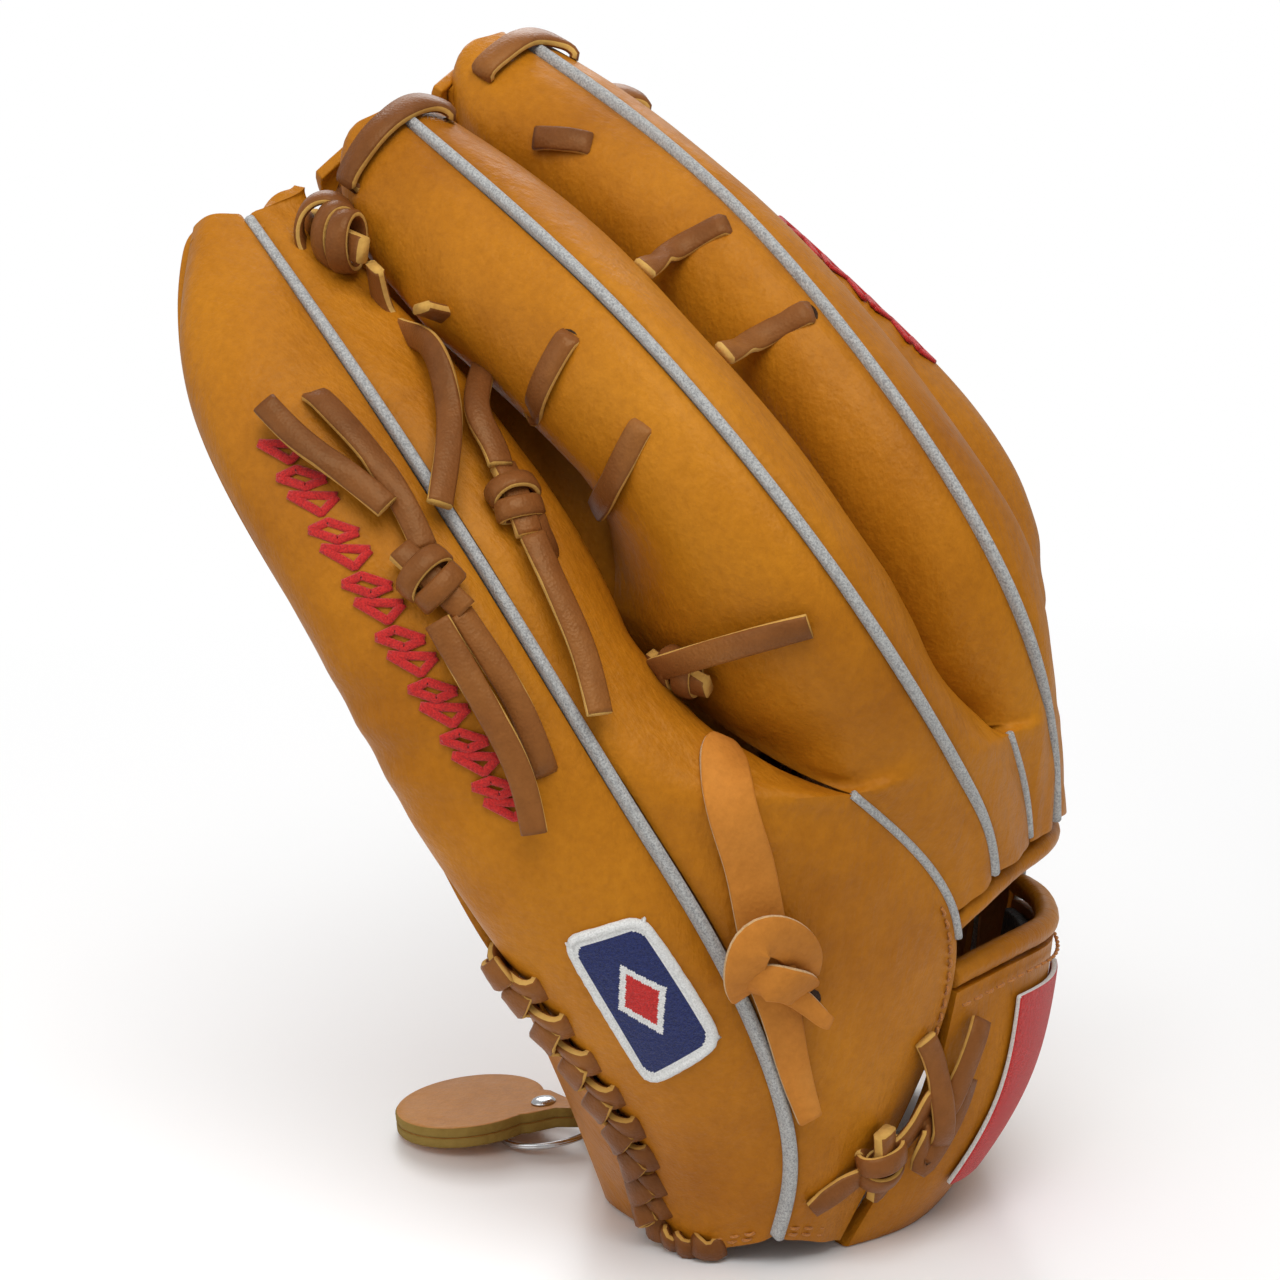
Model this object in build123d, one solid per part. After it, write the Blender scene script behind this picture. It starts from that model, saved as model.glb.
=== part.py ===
from build123d import *
import os
import numpy as np

# Left-hand outfield baseball glove, standing on its heel. Millimetres, +Z up.
# The origin is on the surface the heel stands on, under the middle of the cuff.
# -Y is the back of the hand and +Y the palm; -X is the little finger, +X the thumb.

# ---- driving dimensions ----
LEATHER = 3.0            # shell leather with its inner ply
LINING = 1.6             # hand-side lining leather
PAD = 6.4                # heel felt
PAD_GAP = 1.5            # air in front of a heel pad, behind the palm leather
THUMB_PAD = 2.6          # the thinner felt at the thumb's side of the heel
LACE_R = 2.4             # radius of a lace rolled to a tube
WELT_R = 1.2             # felt welt standing in each finger seam
SEAM_GAP = 0.06          # share of a panel's width left for the welt
CLEAR = 0.6              # space between parts that lie on each other
CUFF_LOW = 0.0           # height of the heel's resting face
ROW_SHIFT = (-8.2, -28.5, 0)    # puts the middle of the whole on the origin
SUEDE_WIDTH = 12.0

# Each finger's curves pass through seven stations: 0 sole, 1 strap, 2 wrist opening,
# 3 knuckles, 4 lower finger, 5 upper finger, 6 tip.
RIDGE = {
    "pinky": [(-62, -24, 8), (-70, -31, 40), (-89, -24, 86), (-104, -7, 126),
              (-109, 22, 170), (-100, 64, 213), (-82, 112, 250)],
    "ring": [(-29, -42, 10), (-25, -56, 46), (-31, -65, 96), (-53, -64, 132),
             (-80, -46, 180), (-79, 10, 234), (-57, 86, 275)],
    "middle": [(5, -46, 10), (9, -61, 48), (-2, -68, 102), (-13, -70, 134),
               (-35, -60, 184), (-26, 6, 250), (-7, 84, 290)],
    "index": [(37, -30, 10), (41, -42, 48), (31, -52, 98), (27, -48, 130),
              (22, -28, 182), (25, 28, 238), (35, 86, 272)],
    "thumb": [(63, -12, 8), (71, -16, 40), (91, -8, 84), (111, 12, 122),
              (125, 38, 163), (128, 70, 203), (117, 102, 236)],
}
FRONT = {
    "pinky": [(-40, 32, -3), (-57, 36, 36), (-77, 38, 80), (-87, 40, 122),
              (-87, 64, 160), (-77, 98, 196), (-67, 126, 230)],
    "ring": [(-17, 44, -3), (-23, 42, 36), (-35, 24, 80), (-43, -8, 128),
             (-57, -14, 172), (-53, 32, 216), (-46, 102, 256)],
    "middle": [(3, 46, -3), (3, 42, 36), (1, 18, 80), (-3, -20, 128),
               (-21, -28, 176), (-17, 30, 226), (-4, 100, 270)],
    "index": [(23, 44, -3), (27, 40, 36), (33, 20, 80), (37, -14, 126),
              (33, -10, 178), (33, 48, 216), (41, 102, 252)],
    "thumb": [(43, 32, -3), (57, 35, 36), (73, 34, 80), (87, 34, 122),
              (97, 56, 156), (99, 82, 192), (97, 110, 224)],
}
EDGE = {
    "pinky": [(-53, 12, -3), (-75, 11, 38), (-101, 30, 86), (-116, 50, 127),
              (-121, 75, 169), (-112, 108, 211), (-87, 124, 246)],
    "thumb": [(53, 18, -3), (75, 17, 38), (105, 34, 84), (125, 58, 122),
              (137, 82, 158), (137, 108, 196), (119, 124, 226)],
}
# Seams between one finger's panel and the next one's, up to the crotch.
SEAM = {
    "pinky": [(-44, -32, 2), (-33, -47, 42), (-39, -59, 88), (-71, -47, 126)],
    "ring": [(-13, -44, 10), (-9, -59, 47), (-15, -67, 100), (-29, -67, 133)],
    "middle": [(21, -40, 10), (25, -54, 48), (15, -62, 101), (9, -61, 132)],
    "index": [(49, -22, 9), (57, -30, 44), (59, -34, 90), (65, -24, 124)],
}
NEXT_INWARD = {"ring": "pinky", "middle": "ring", "index": "middle", "thumb": "index"}
HALF_WIDTH = {
    "pinky": (24, 24, 28, 27), "ring": (20, 21, 24, 26), "middle": (20, 21, 24, 26),
    "index": (20, 22, 24, 24), "thumb": (24, 25, 25, 24),
}
PINKY_INNER = (24, 34, 38, 31)     # the little finger reaches further towards the ring finger
CROTCH = {"pinky": 3.5, "ring": 3.35, "middle": 3.35, "index": 3.1}
LAST_SEAM = 3.0
WIDTH_SHARE = 0.455
PINKY_SHARE = 0.52
HALF_SLIT = 3.5
HEEL_CREASE_HALF = 6.0
FINGERS = ("pinky", "ring", "middle", "index")
TIP = 6.0


# ---- curves and panels ----
def spline(points, stations):
    """Natural cubic spline through points, read at an array of station numbers."""
    knots = np.asarray(points, float)
    count = len(knots)
    system = np.eye(count)
    bend = np.zeros_like(knots)
    for i in range(1, count - 1):
        system[i, i - 1:i + 2] = (1, 4, 1)
        bend[i] = 6 * (knots[i + 1] - 2 * knots[i] + knots[i - 1])
    second = np.linalg.solve(system, bend)
    t = np.clip(np.atleast_1d(np.asarray(stations, float)), 0, count - 1)
    k = np.minimum(t.astype(int), count - 2)
    f = (t - k)[:, None]
    g = 1 - f
    curve = ((g ** 3 - g) * second[k] + (f ** 3 - f) * second[k + 1]) / 6
    return g * knots[k] + f * knots[k + 1] + curve


def unit(vectors):
    return vectors / np.maximum(np.linalg.norm(vectors, axis=-1, keepdims=True), 1e-9)


def tip_rounding(t):
    """0 along the finger, rising to 1 at the very tip like the side of a ball."""
    share = np.clip((np.asarray(t, float) - 5.6) / 0.4, 0, 1)
    return (1 - np.sqrt(1 - share ** 2))[:, None]


def finger_axes(finger, t):
    """Ridge and front points with the outward and thumbward directions at stations t."""
    ridge = spline(RIDGE[finger], t)
    front = spline(FRONT[finger], t)
    front = front + (ridge - front) * 0.6 * tip_rounding(t)
    ahead = spline(RIDGE[finger], np.minimum(t + 0.02, TIP))
    behind = spline(RIDGE[finger], np.maximum(t - 0.02, 0))
    along = unit(ahead - behind)
    outward = unit(ridge - front)
    across = unit(np.cross(along, outward))
    return ridge, front, outward, across, along


def heel_half_width(finger, side):
    """Half width at the sole, narrow beside the crease that the thumb folds along."""
    beside_crease = (finger, side) in (("index", 1), ("thumb", -1))
    return HEEL_CREASE_HALF if beside_crease else HALF_WIDTH[finger][0]


def half_width(finger, t, side=1):
    """Half the finger's width, kept inside the middle plane it shares with a neighbour."""
    widths = PINKY_INNER if (finger, side) == ("pinky", 1) else HALF_WIDTH[finger]
    width = np.interp(t, [0, 3, 4, 5, 6], (heel_half_width(finger, side), *widths))
    place = FINGERS.index(finger) + side if finger in FINGERS else -1
    if 0 <= place < len(FINGERS):
        other = FINGERS[place]
        for curves in (RIDGE, FRONT):
            spacing = np.linalg.norm(spline(curves[finger], t) - spline(curves[other], t), axis=1)
            share = PINKY_SHARE if (finger, side) == ("pinky", 1) else WIDTH_SHARE
            width = np.minimum(width, spacing * share)
    return width[:, None] * (1 - 0.45 * tip_rounding(t))


def gap_edge(finger, side, t):
    """Edge of the palm leather beside the slit between a finger and its neighbour."""
    near = finger_axes(finger, t)[1]
    far = finger_axes(FINGERS[FINGERS.index(finger) + side], t)[1]
    spacing = np.linalg.norm(far - near, axis=1)[:, None]
    return near + (far - near) * (0.5 - HALF_SLIT / spacing)


def panel_grid(finger, side, t, u):
    """Outer surface of a back panel: u runs from the ridge seam (0) to the far edge (1)."""
    t = np.asarray(t, float)
    ridge, front, outward, across, along = finger_axes(finger, t)
    toward = across * side
    half = half_width(finger, t, side)
    depth = np.linalg.norm(ridge - front, axis=1)[:, None]
    p1 = ridge + toward * half * 0.80 - outward
    p2 = front + outward * depth * 0.42 + toward * half * 1.28
    p3 = front + toward * (half - 3)
    if (finger, side) == ("ring", -1):
        joined = np.clip((4.7 - t) / 0.8, 0, 1)[:, None]
        p3 = p3 * (1 - joined) + (gap_edge(finger, side, t) + outward * 2) * joined
    if (finger, side) == ("pinky", 1):
        p3 = gap_edge(finger, side, t) + outward * 2
        p2 = p3 + outward * depth * 0.45 + toward * 4
    if (finger, side) in (("pinky", -1), ("thumb", 1)):
        p3 = spline(EDGE[finger], t)
        span = p3 - ridge
        bulge = unit(np.cross(span, along))
        bulge = bulge * np.sign((bulge * outward).sum(1))[:, None]
        bulge = bulge * np.linalg.norm(span, axis=1)[:, None]
        p1 = ridge + span * 0.38 + bulge * 0.24
        p2 = ridge + span * 0.92 + bulge * 0.26
    else:
        seam = finger if side > 0 else NEXT_INWARD[finger]
        valley = spline(SEAM[seam], np.minimum(t, LAST_SEAM))
        span = valley - ridge
        length = np.linalg.norm(span, axis=1)[:, None]
        opening = np.clip((t - LAST_SEAM) / (CROTCH[seam] - LAST_SEAM + 0.25), 0, 1)
        opening = (opening ** 2 * (3 - 2 * opening))[:, None]
        p1 = (ridge + span * 0.36 + outward * length * 0.10) * (1 - opening) + p1 * opening
        p2 = (ridge + span * 0.72 + outward * length * 0.08) * (1 - opening) + p2 * opening
        p3 = valley * (1 - opening) + p3 * opening
    u = np.asarray(u, float)[None, :, None]
    p0, p1, p2, p3 = [p[:, None, :] for p in (ridge, p1, p2, p3)]
    return (1 - u) ** 3 * p0 + 3 * (1 - u) ** 2 * u * p1 + 3 * (1 - u) * u ** 2 * p2 + u ** 3 * p3


def front_grid(columns, t, lift):
    """Palm-side surface through the listed columns, lifted towards the ball by lift."""
    rows = []
    for finger, place in columns:
        ridge, front, outward, across, along = finger_axes(finger, t)
        point = front
        if place == "edge":
            point = spline(EDGE[finger], t)
        elif place in ("gap before", "gap after"):
            point = gap_edge(finger, 1 if place == "gap after" else -1, t)
        else:
            side = 1 if place > 0 else -1
            point = front + across * (half_width(finger, t, side) - 2) * place
        rows.append(point - outward * lift)
    return np.stack(rows, axis=1)


def normals(grid, toward):
    """Unit normals of a grid, all turned to the side of the point toward."""
    normal = unit(np.cross(np.gradient(grid, axis=0), np.gradient(grid, axis=1)))
    facing = (normal * (np.asarray(toward, float) - grid)).sum(-1)
    return normal * np.sign(facing.sum())


def flattened(points):
    """Points moved onto their own best plane, as a loft's end section needs."""
    middle = points.mean(axis=0)
    plane_normal = np.linalg.svd(points - middle)[2][2]
    return points - np.outer((points - middle) @ plane_normal, plane_normal)


def sheet(grid, thickness, toward, lift=0.0):
    """Closed solid: a smooth sheet through grid, thickened to the side of point toward.

    A positive lift first moves the sheet away from that side.
    """
    inward = normals(grid, toward)
    outer = grid - inward * lift
    inner = outer + inward * thickness
    wires = []
    for i, (near, far) in enumerate(zip(outer, inner)):
        ring = np.vstack([near, far[::-1]])
        if i in (0, len(grid) - 1):
            ring = flattened(ring)
        places = [Vector(*map(float, point)) for point in ring]
        half = len(places) // 2
        edges = [
            Edge.make_spline(places[:half]),
            Edge.make_line(places[half - 1], places[half]),
            Edge.make_spline(places[half:]),
            Edge.make_line(places[-1], places[0]),
        ]
        wires.append(Wire(edges))
    return Solid.make_loft(wires)


def arc_path(points):
    """Straight runs joined by tangent arcs that are as large as the runs allow."""
    places = [Vector(*map(float, point)) for point in points]
    radii = []
    for before, at, after in zip(places, places[1:], places[2:]):
        turn = np.radians((at - before).get_angle(after - at))
        shorter = min((at - before).length, (after - at).length)
        radii.append(0.45 * shorter / max(np.tan(turn / 2), 0.002))
    if not radii:
        return Polyline(*places), radii
    return FilletPolyline(*places, radius=radii), radii


def tube(points, radius):
    path, radii = arc_path(points)
    section = Plane(origin=path @ 0, z_dir=path % 0) * Circle(radius)
    return sweep(section, path=path), radii


def rolled(points, radius):
    return tube(points, radius)[0]


NODES = {}


def keep(name, shape):
    NODES[name] = shape


def above_floor(shape):
    """Trim a hem to the flat face that the heel stands on."""
    return shape & Pos(0, 0, 200 + CUFF_LOW) * Box(600, 600, 400)


# ---- shell leather ----
INSIDE = {
    "pinky": (-60, 30, 120), "ring": (-45, 20, 150), "middle": (-12, 10, 160),
    "index": (28, 20, 160), "thumb": (80, 50, 120),
}
START = {"pinky": 0.0, "ring": 2.05, "middle": 2.05, "index": 2.05, "thumb": 0.0}
BALL_SIDE = (0, 300, 150)
ROWS = np.array([0, 0.6, 1.2, 1.8, 2.4, 3.0, 3.6, 4.2, 4.8, 5.4, 5.7, 5.9, 6.0])
HAND = (0, -10, 60)


def outer_side(finger):
    """The side of a finger that faces away from the middle of the glove."""
    return 1 if finger == "thumb" else -1


INDEX_LAST = 0.86        # the index finger's outer panel stops short of its palm strip


def back_panels():
    for finger in RIDGE:
        stations = ROWS if START[finger] == 0 else np.append(START[finger], ROWS[4:])
        for name, side in (("outer", outer_side(finger)), ("inner", -outer_side(finger))):
            last = INDEX_LAST if (finger, name) == ("index", "outer") else 0.96
            grid = panel_grid(finger, side, stations, np.linspace(SEAM_GAP, last, 7))
            panel = sheet(grid, LEATHER, INSIDE[finger])
            keep(f"{finger}_{name}_panel", above_floor(panel))


PALM_COLUMNS = [("pinky", "edge"), ("pinky", 0), ("pinky", 0.9), ("ring", -0.9), ("ring", 0.9),
                ("middle", -0.9), ("middle", 0.9), ("index", -0.9), ("index", 0.9)]
PALM_TOP = 3.6           # above this station the palm leather is cut into finger strips
THUMB_COLUMNS = [("thumb", -0.9), ("thumb", 0), ("thumb", "edge")]


def palm_grid(columns, stations, places):
    """Palm surface at column places (0 is the first column) and stations."""
    known = front_grid(columns, stations, 0)
    return np.stack([spline(row, places) for row in known])


def palm_shell():
    grid = palm_grid(PALM_COLUMNS, np.append(ROWS[:6], PALM_TOP), np.linspace(0.08, 8, 11))
    cuts = [above_floor(sheet(grid, LEATHER, BALL_SIDE, lift=-CLEAR))]
    for finger in FINGERS:
        first = {"pinky": "edge", "index": -0.72}.get(finger, "gap before")
        last = 0.9 if finger == "index" else "gap after"
        columns = [(finger, place) for place in (first, -0.3, 0.3, last)]
        stations = np.append(PALM_TOP + 0.01, ROWS[7:])
        strip = front_grid(columns, stations, 0)
        cuts.append(sheet(strip, LEATHER, BALL_SIDE, lift=-CLEAR))
    keep("palm_leather_finger_side", Compound(cuts))
    grid = palm_grid(THUMB_COLUMNS, ROWS, np.linspace(0, 1.93, 5))
    keep("palm_leather_thumb_side", above_floor(sheet(grid, LEATHER, BALL_SIDE, lift=-CLEAR)))
    stations = np.linspace(0.15, 3.0, 6)
    sides = front_grid([("index", 0.9), ("thumb", -0.9)], stations, 0)
    near, far = sides[:, 0], sides[:, 1]
    step = unit(far - near) * 3.8
    crease = np.stack([near + step, (near + far) / 2 + (0, -3, 0), far - step], axis=1)
    keep("palm_crease_leather", sheet(crease, LEATHER, BALL_SIDE, lift=-CLEAR))


# ---- padding and linings inside the shell ----
def pads_and_linings():
    heel = np.linspace(0.3, 2.1, 6)
    pinky_heel = palm_grid(PALM_COLUMNS, heel, np.linspace(1.4, 4.8, 6))
    keep("heel_pad_pinky_side", sheet(pinky_heel, PAD, HAND, lift=-PAD_GAP))
    thumb_heel = front_grid([("thumb", -0.2), ("thumb", 0), ("thumb", 0.25)], heel[1:], 0)
    keep("heel_pad_thumb_side", sheet(thumb_heel, THUMB_PAD, HAND, lift=-(PAD_GAP + 1.0)))
    hand = np.linspace(0.15, 3.0, 7)
    behind_pads = -(PAD + PAD_GAP + 2.3)
    palm = palm_grid(PALM_COLUMNS, hand, np.linspace(1.2, 7.4, 8))
    keep("palm_lining", sheet(palm, LINING, HAND, lift=behind_pads))
    thumb = palm_grid(THUMB_COLUMNS, hand, np.linspace(0.25, 1.1, 4))
    keep("thumb_lining", sheet(thumb, LINING, HAND, lift=behind_pads))
    stall = np.linspace(4.1, 5.5, 5)
    for finger in ("pinky", "thumb"):
        strip = front_grid([(finger, -0.35), (finger, 0), (finger, 0.35)], stall, 0)
        toward = spline(RIDGE[finger], [4.5])[0]
        keep(f"{finger}_finger_pad", sheet(strip, 4.0, toward, lift=-3.0))
    back = np.linspace(2.15, 3.0, 4)
    columns = [spline(points, back) for points in (
        RIDGE["ring"], SEAM["ring"], RIDGE["middle"], SEAM["middle"], RIDGE["index"])]
    grid = np.stack(columns, axis=1)
    keep("back_lining", sheet(grid, LINING, INSIDE["middle"], lift=-8.0))


# ---- wrist strap ----
STRAP_ROWS = [
    [(-42, -32, -2), (-22, -39, -2), (4, -38, -2), (30, -31, -2), (46, -19, -2)],
    [(-38.5, -39.5, 14), (-20, -50, 14), (6, -47, 13), (32, -38, 13), (49, -24, 12)],
    [(-31.5, -49, 38), (-12, -60, 38), (12, -57, 37), (34, -46, 36), (52, -32, 35)],
    [(-31, -56, 67), (-8, -63, 70), (15, -61, 68), (37, -50, 66), (54, -37, 63)],
]
STRAP_T = 4.0
FLEECE = 3.0
ROLL_R = 2.8
BEHIND = (0, -400, 40)


def strap_grid(rows, columns):
    """Outer face of the strap at row places 0 to 3 and column places 0 to 4."""
    upright = [spline(column, rows) for column in np.swapaxes(np.array(STRAP_ROWS, float), 0, 1)]
    lying = np.swapaxes(np.array(upright), 0, 1)
    return np.stack([spline(row, columns) for row in lying])


def wrist_strap():
    every = strap_grid(np.linspace(0, 3, 6), np.linspace(0, 4, 7))
    keep("wrist_strap", above_floor(sheet(every, STRAP_T, HAND)))
    inner = strap_grid(np.linspace(0.9, 2.95, 4), np.linspace(0.3, 3.7, 6))
    keep("strap_fleece", sheet(inner, FLEECE, HAND, lift=-(STRAP_T + CLEAR)))
    patch = strap_grid(np.linspace(1.0, 2.75, 4), np.linspace(0.9, 2.5, 4))
    keep("strap_patch", sheet(patch, 1.6, BEHIND, lift=-CLEAR))
    roll = [np.add(point, (0, 2.0, ROLL_R + 1.2)) for point in STRAP_ROWS[-1]]
    keep("strap_top_binding", rolled(roll, ROLL_R))


def opening_binding():
    """Rolled leather along the back edge of the wrist opening."""
    points = [(-36, -56, 86), (-31, -61, 92), (-15, -63, 96), (-2, -64.5, 98),
              (15, -59, 97), (31, -49, 94), (55, -35, 86.5)]
    keep("opening_binding", rolled(points, ROLL_R - 0.4))


# ---- felt welts ----
THUMB_WELT_GAP = 1.0     # clearance that the folding thumb panel needs


def welts():
    for finger in RIDGE:
        stations = np.linspace(START[finger] + 0.06, 5.95, 12)
        keep(f"{finger}_welt", rolled(spline(RIDGE[finger], stations), WELT_R))
    cords = {}
    for finger, start in (("pinky", 1.9), ("ring", 2.1), ("middle", 2.1), ("index", 0.4)):
        points = spline(SEAM[finger], np.linspace(start, LAST_SEAM, 6))
        if finger == "index":
            points = points - (THUMB_WELT_GAP, 0, 0)
        cords[finger] = rolled(points, 0.6)
    keep("back_seam_welts", Compound([cords["pinky"], cords["ring"], cords["middle"]]))
    keep("thumb_seam_welt", cords["index"])


# ---- web between index finger and thumb ----
WEB_T = 3.4
WEB_BOW = 8.0
WEB_INSIDE = (60, 300, 180)


def web_grid(stations, shares):
    """Surface from the index finger's inner edge (share 0) to the thumb's (share 1)."""
    near = front_grid([("index", 1)], stations, 0)[:, 0]
    far = front_grid([("thumb", -1)], stations, 0)[:, 0]
    outward = unit(finger_axes("index", stations)[2] + finger_axes("thumb", stations)[2])
    shares = np.asarray(shares, float)[None, :, None]
    bow = 4 * shares * (1 - shares) * WEB_BOW + 2
    near, far, outward = near[:, None], far[:, None], outward[:, None]
    return near * (1 - shares) + far * shares + outward * bow


def web():
    full = np.linspace(3.55, 5.75, 7)
    over = WEB_T + 1.5
    keep("web_post_index", sheet(web_grid(full, [0.08, 0.2, 0.34]), WEB_T, WEB_INSIDE))
    keep("web_post_thumb", sheet(web_grid(full, [0.66, 0.8, 0.92]), WEB_T, WEB_INSIDE))
    shares = np.linspace(0.08, 0.92, 6)
    crossbar = web_grid(np.linspace(5.1, 5.6, 3), shares)
    keep("web_crossbar", sheet(crossbar, WEB_T, WEB_INSIDE, lift=over))
    base = web_grid(np.linspace(3.65, 4.05, 3), shares)
    keep("web_base_bar", sheet(base, WEB_T, WEB_INSIDE, lift=over))
    crossings = []
    for station in np.linspace(4.25, 4.95, 4):
        span = web_grid(np.array([station, station + 0.05]), [0.38, 0.5, 0.62])[0]
        crossings.append(rolled(span, LACE_R - 0.6))
    keep("web_lacing", Compound(crossings))


# ---- laces ----
def on_panel(finger, side, t, u, lift):
    """A point standing lift above a back panel's outer face."""
    around = panel_grid(finger, side, [t - 0.03, t, t + 0.03], [u - 0.02, u, u + 0.02])
    return around[1, 1] - normals(around, INSIDE[finger])[1, 1] * lift


def over_panels(route, lift):
    return [on_panel(*stop, lift) for stop in route]


TIP_LOOPS = [
    [("ring", -1, 5.72, 0.62), ("ring", -1, 5.76, 0.32), ("ring", 1, 5.78, 0.12),
     ("ring", 1, 5.74, 0.42)],
    [("middle", -1, 5.74, 0.52), ("middle", -1, 5.78, 0.26), ("middle", 1, 5.78, 0.12),
     ("middle", 1, 5.74, 0.42)],
    [("index", -1, 5.74, 0.52), ("index", -1, 5.78, 0.26), ("index", 1, 5.78, 0.12),
     ("index", 1, 5.74, 0.42)],
]
GAP_LACES = [
    [("ring", -1, 5.0, 0.23), ("ring", -1, 4.99, 0.5), ("ring", -1, 4.96, 0.75)],
    [("ring", -1, 4.66, 0.26), ("ring", -1, 4.62, 0.5), ("ring", -1, 4.58, 0.75)],
    [("middle", -1, 5.45, 0.30), ("middle", -1, 5.49, 0.42), ("middle", -1, 5.53, 0.54)],
    [("middle", -1, 5.0, 0.2), ("middle", -1, 5.01, 0.42), ("middle", -1, 5.04, 0.62)],
    [("middle", -1, 4.7, 0.18), ("middle", -1, 4.71, 0.4), ("middle", -1, 4.74, 0.6)],
    [("index", -1, 5.3, 0.2), ("index", -1, 5.3, 0.35), ("index", -1, 5.32, 0.5)],
    [("index", -1, 4.8, 0.2), ("index", -1, 4.8, 0.35), ("index", -1, 4.82, 0.5)],
]
STRAP_LACE = [
    [("pinky", 1, 0.42, 0.70), ("pinky", 1, 0.75, 0.78), ("pinky", 1, 1.05, 0.86)],
    [("pinky", 1, 1.3, 0.72), ("pinky", 1, 1.42, 0.82), ("pinky", 1, 1.5, 0.92)],
]


def lace_group(routes, lift):
    return Compound([rolled(over_panels(route, lift), LACE_R) for route in routes])


def laces():
    lift = LACE_R + 1.0
    keep("fingertip_lacing", lace_group(TIP_LOOPS, lift + 1.5))
    keep("finger_gap_lacing", lace_group(GAP_LACES, lift))
    keep("strap_lacing", lace_group(STRAP_LACE, lift))
    rungs = []
    for t in np.linspace(0.55, 1.85, 6):
        route = [("pinky", -1, t, 0.78), ("pinky", -1, t + 0.03, 0.87), ("pinky", -1, t + 0.07, 0.93)]
        rungs.append(rolled(over_panels(route, lift), LACE_R))
    keep("heel_lacing", Compound(rungs))


KNOTS = {
    "fingertip_knot": ("ring", -1, 5.74, 0.70, (15, 13, 10)),
    "panel_knot": ("pinky", -1, 4.08, 0.20, (17, 13, 7)),
    "gap_knot": ("pinky", 1, 4.36, 0.20, (16, 13, 8)),
    "crotch_knot": ("ring", -1, 3.74, 0.78, (14, 12, 8)),
    "strap_knot": ("pinky", 1, 0.66, 0.66, (15, 12, 7)),
}


TIE_KNOT = ("pinky", 1, 2.08, 0.17, (26, 20, 7))


def knot(finger, side, t, u, size):
    """A rounded block lying on a panel, its length along the finger."""
    at = on_panel(finger, side, t, u, size[2] / 2 + 1.0)
    ahead = on_panel(finger, side, t + 0.1, u, size[2] / 2 + 1.0)
    up = at - on_panel(finger, side, t, u, 0)
    place = Plane(origin=tuple(at), x_dir=tuple(ahead - at), z_dir=tuple(up))
    block = Box(*size)
    return place * fillet(block.edges(), 0.42 * min(size))


def knots():
    for name, placing in KNOTS.items():
        keep(name, knot(*placing))


# ---- flat pieces sewn or tied to the outer panels ----
def patch_grid(finger, side, corners, count=4):
    """Panel surface between four corners given as (t, u), first pair at one end."""
    (a, b), (d, c) = corners[:2], corners[:1:-1]
    rows = []
    for share in np.linspace(0, 1, count):
        start = np.add(a, np.subtract(d, a) * share)
        end = np.add(b, np.subtract(c, b) * share)
        row = [np.add(start, np.subtract(end, start) * k) for k in np.linspace(0, 1, count)]
        rows.append([on_panel(finger, side, t, u, 0) for t, u in row])
    return np.array(rows)


PATCH_CORNERS = [(2.27, 0.42), (2.40, 0.15), (1.60, 0.12), (1.38, 0.47)]
MOTIF_CORNERS = [(4.72, 0.38), (4.66, 0.55), (2.94, 0.39), (3.04, 0.27)]
TIE_ROUTE = [(3.30, 0.62), (3.03, 0.40), (2.70, 0.30), (2.40, 0.24)]
TIE_END_ROUTE = [(1.72, 0.11), (1.56, 0.10), (1.38, 0.10), (1.19, 0.10)]
AWAY = (-400, -300, 120)


def tie_grid(route):
    rows = []
    for before, after in zip([route[0]] + route[:-1], route[1:] + [route[-1]]):
        middle = (np.add(before, after)) / 2
        here = on_panel("pinky", 1, *middle, 0)
        along = on_panel("pinky", 1, *after, 0) - on_panel("pinky", 1, *before, 0)
        up = on_panel("pinky", 1, *middle, 1) - here
        across = unit(np.cross(along, up)) * SUEDE_WIDTH / 2
        rows.append([here - across, here, here + across])
    return np.array(rows)


def trims():
    patch = patch_grid("pinky", -1, PATCH_CORNERS)
    keep("heel_patch", sheet(patch, 1.8, AWAY, lift=-CLEAR))
    motif = patch_grid("pinky", -1, MOTIF_CORNERS, 5)
    keep("pinky_embroidery", sheet(motif, 0.8, AWAY, lift=-CLEAR))
    upper = sheet(tie_grid(TIE_ROUTE), 2.2, AWAY, lift=-2.8)
    lower = sheet(tie_grid(TIE_END_ROUTE), 2.2, AWAY, lift=-2.8)
    keep("suede_tie", Compound([upper, lower, knot(*TIE_KNOT)]))


# ---- free lace tails ----
TAIL_R = 1.8
TAIL_LIFT = 6.5
TAILS = {
    "fingertip_lace_tail": [("ring", -1, 5.58, 0.62), ("ring", -1, 5.46, 0.84),
                            ("pinky", 1, 5.09, 0.27), ("pinky", 1, 4.85, 0.19),
                            ("pinky", 1, 4.65, 0.08), ("pinky", -1, 4.40, 0.06)],
    "gap_lace_tail_upper": [("ring", -1, 5.38, 0.56), ("ring", -1, 5.24, 0.80),
                            ("pinky", 1, 4.81, 0.31), ("pinky", 1, 4.62, 0.23),
                            ("pinky", 1, 4.50, 0.20)],
    "gap_lace_tail_lower": [("pinky", 1, 4.19, 0.16), ("pinky", 1, 3.94, 0.13),
                            ("pinky", 1, 3.68, 0.10), ("pinky", 1, 3.44, 0.05)],
    "panel_lace_tail_upper": [("pinky", -1, 4.83, 0.45), ("pinky", -1, 4.66, 0.38),
                              ("pinky", -1, 4.52, 0.29), ("pinky", -1, 4.38, 0.22)],
    "panel_lace_tail_lower": [("pinky", -1, 3.90, 0.25), ("pinky", -1, 3.60, 0.24),
                              ("pinky", -1, 3.26, 0.24), ("pinky", -1, 2.93, 0.29)],
}


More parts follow.
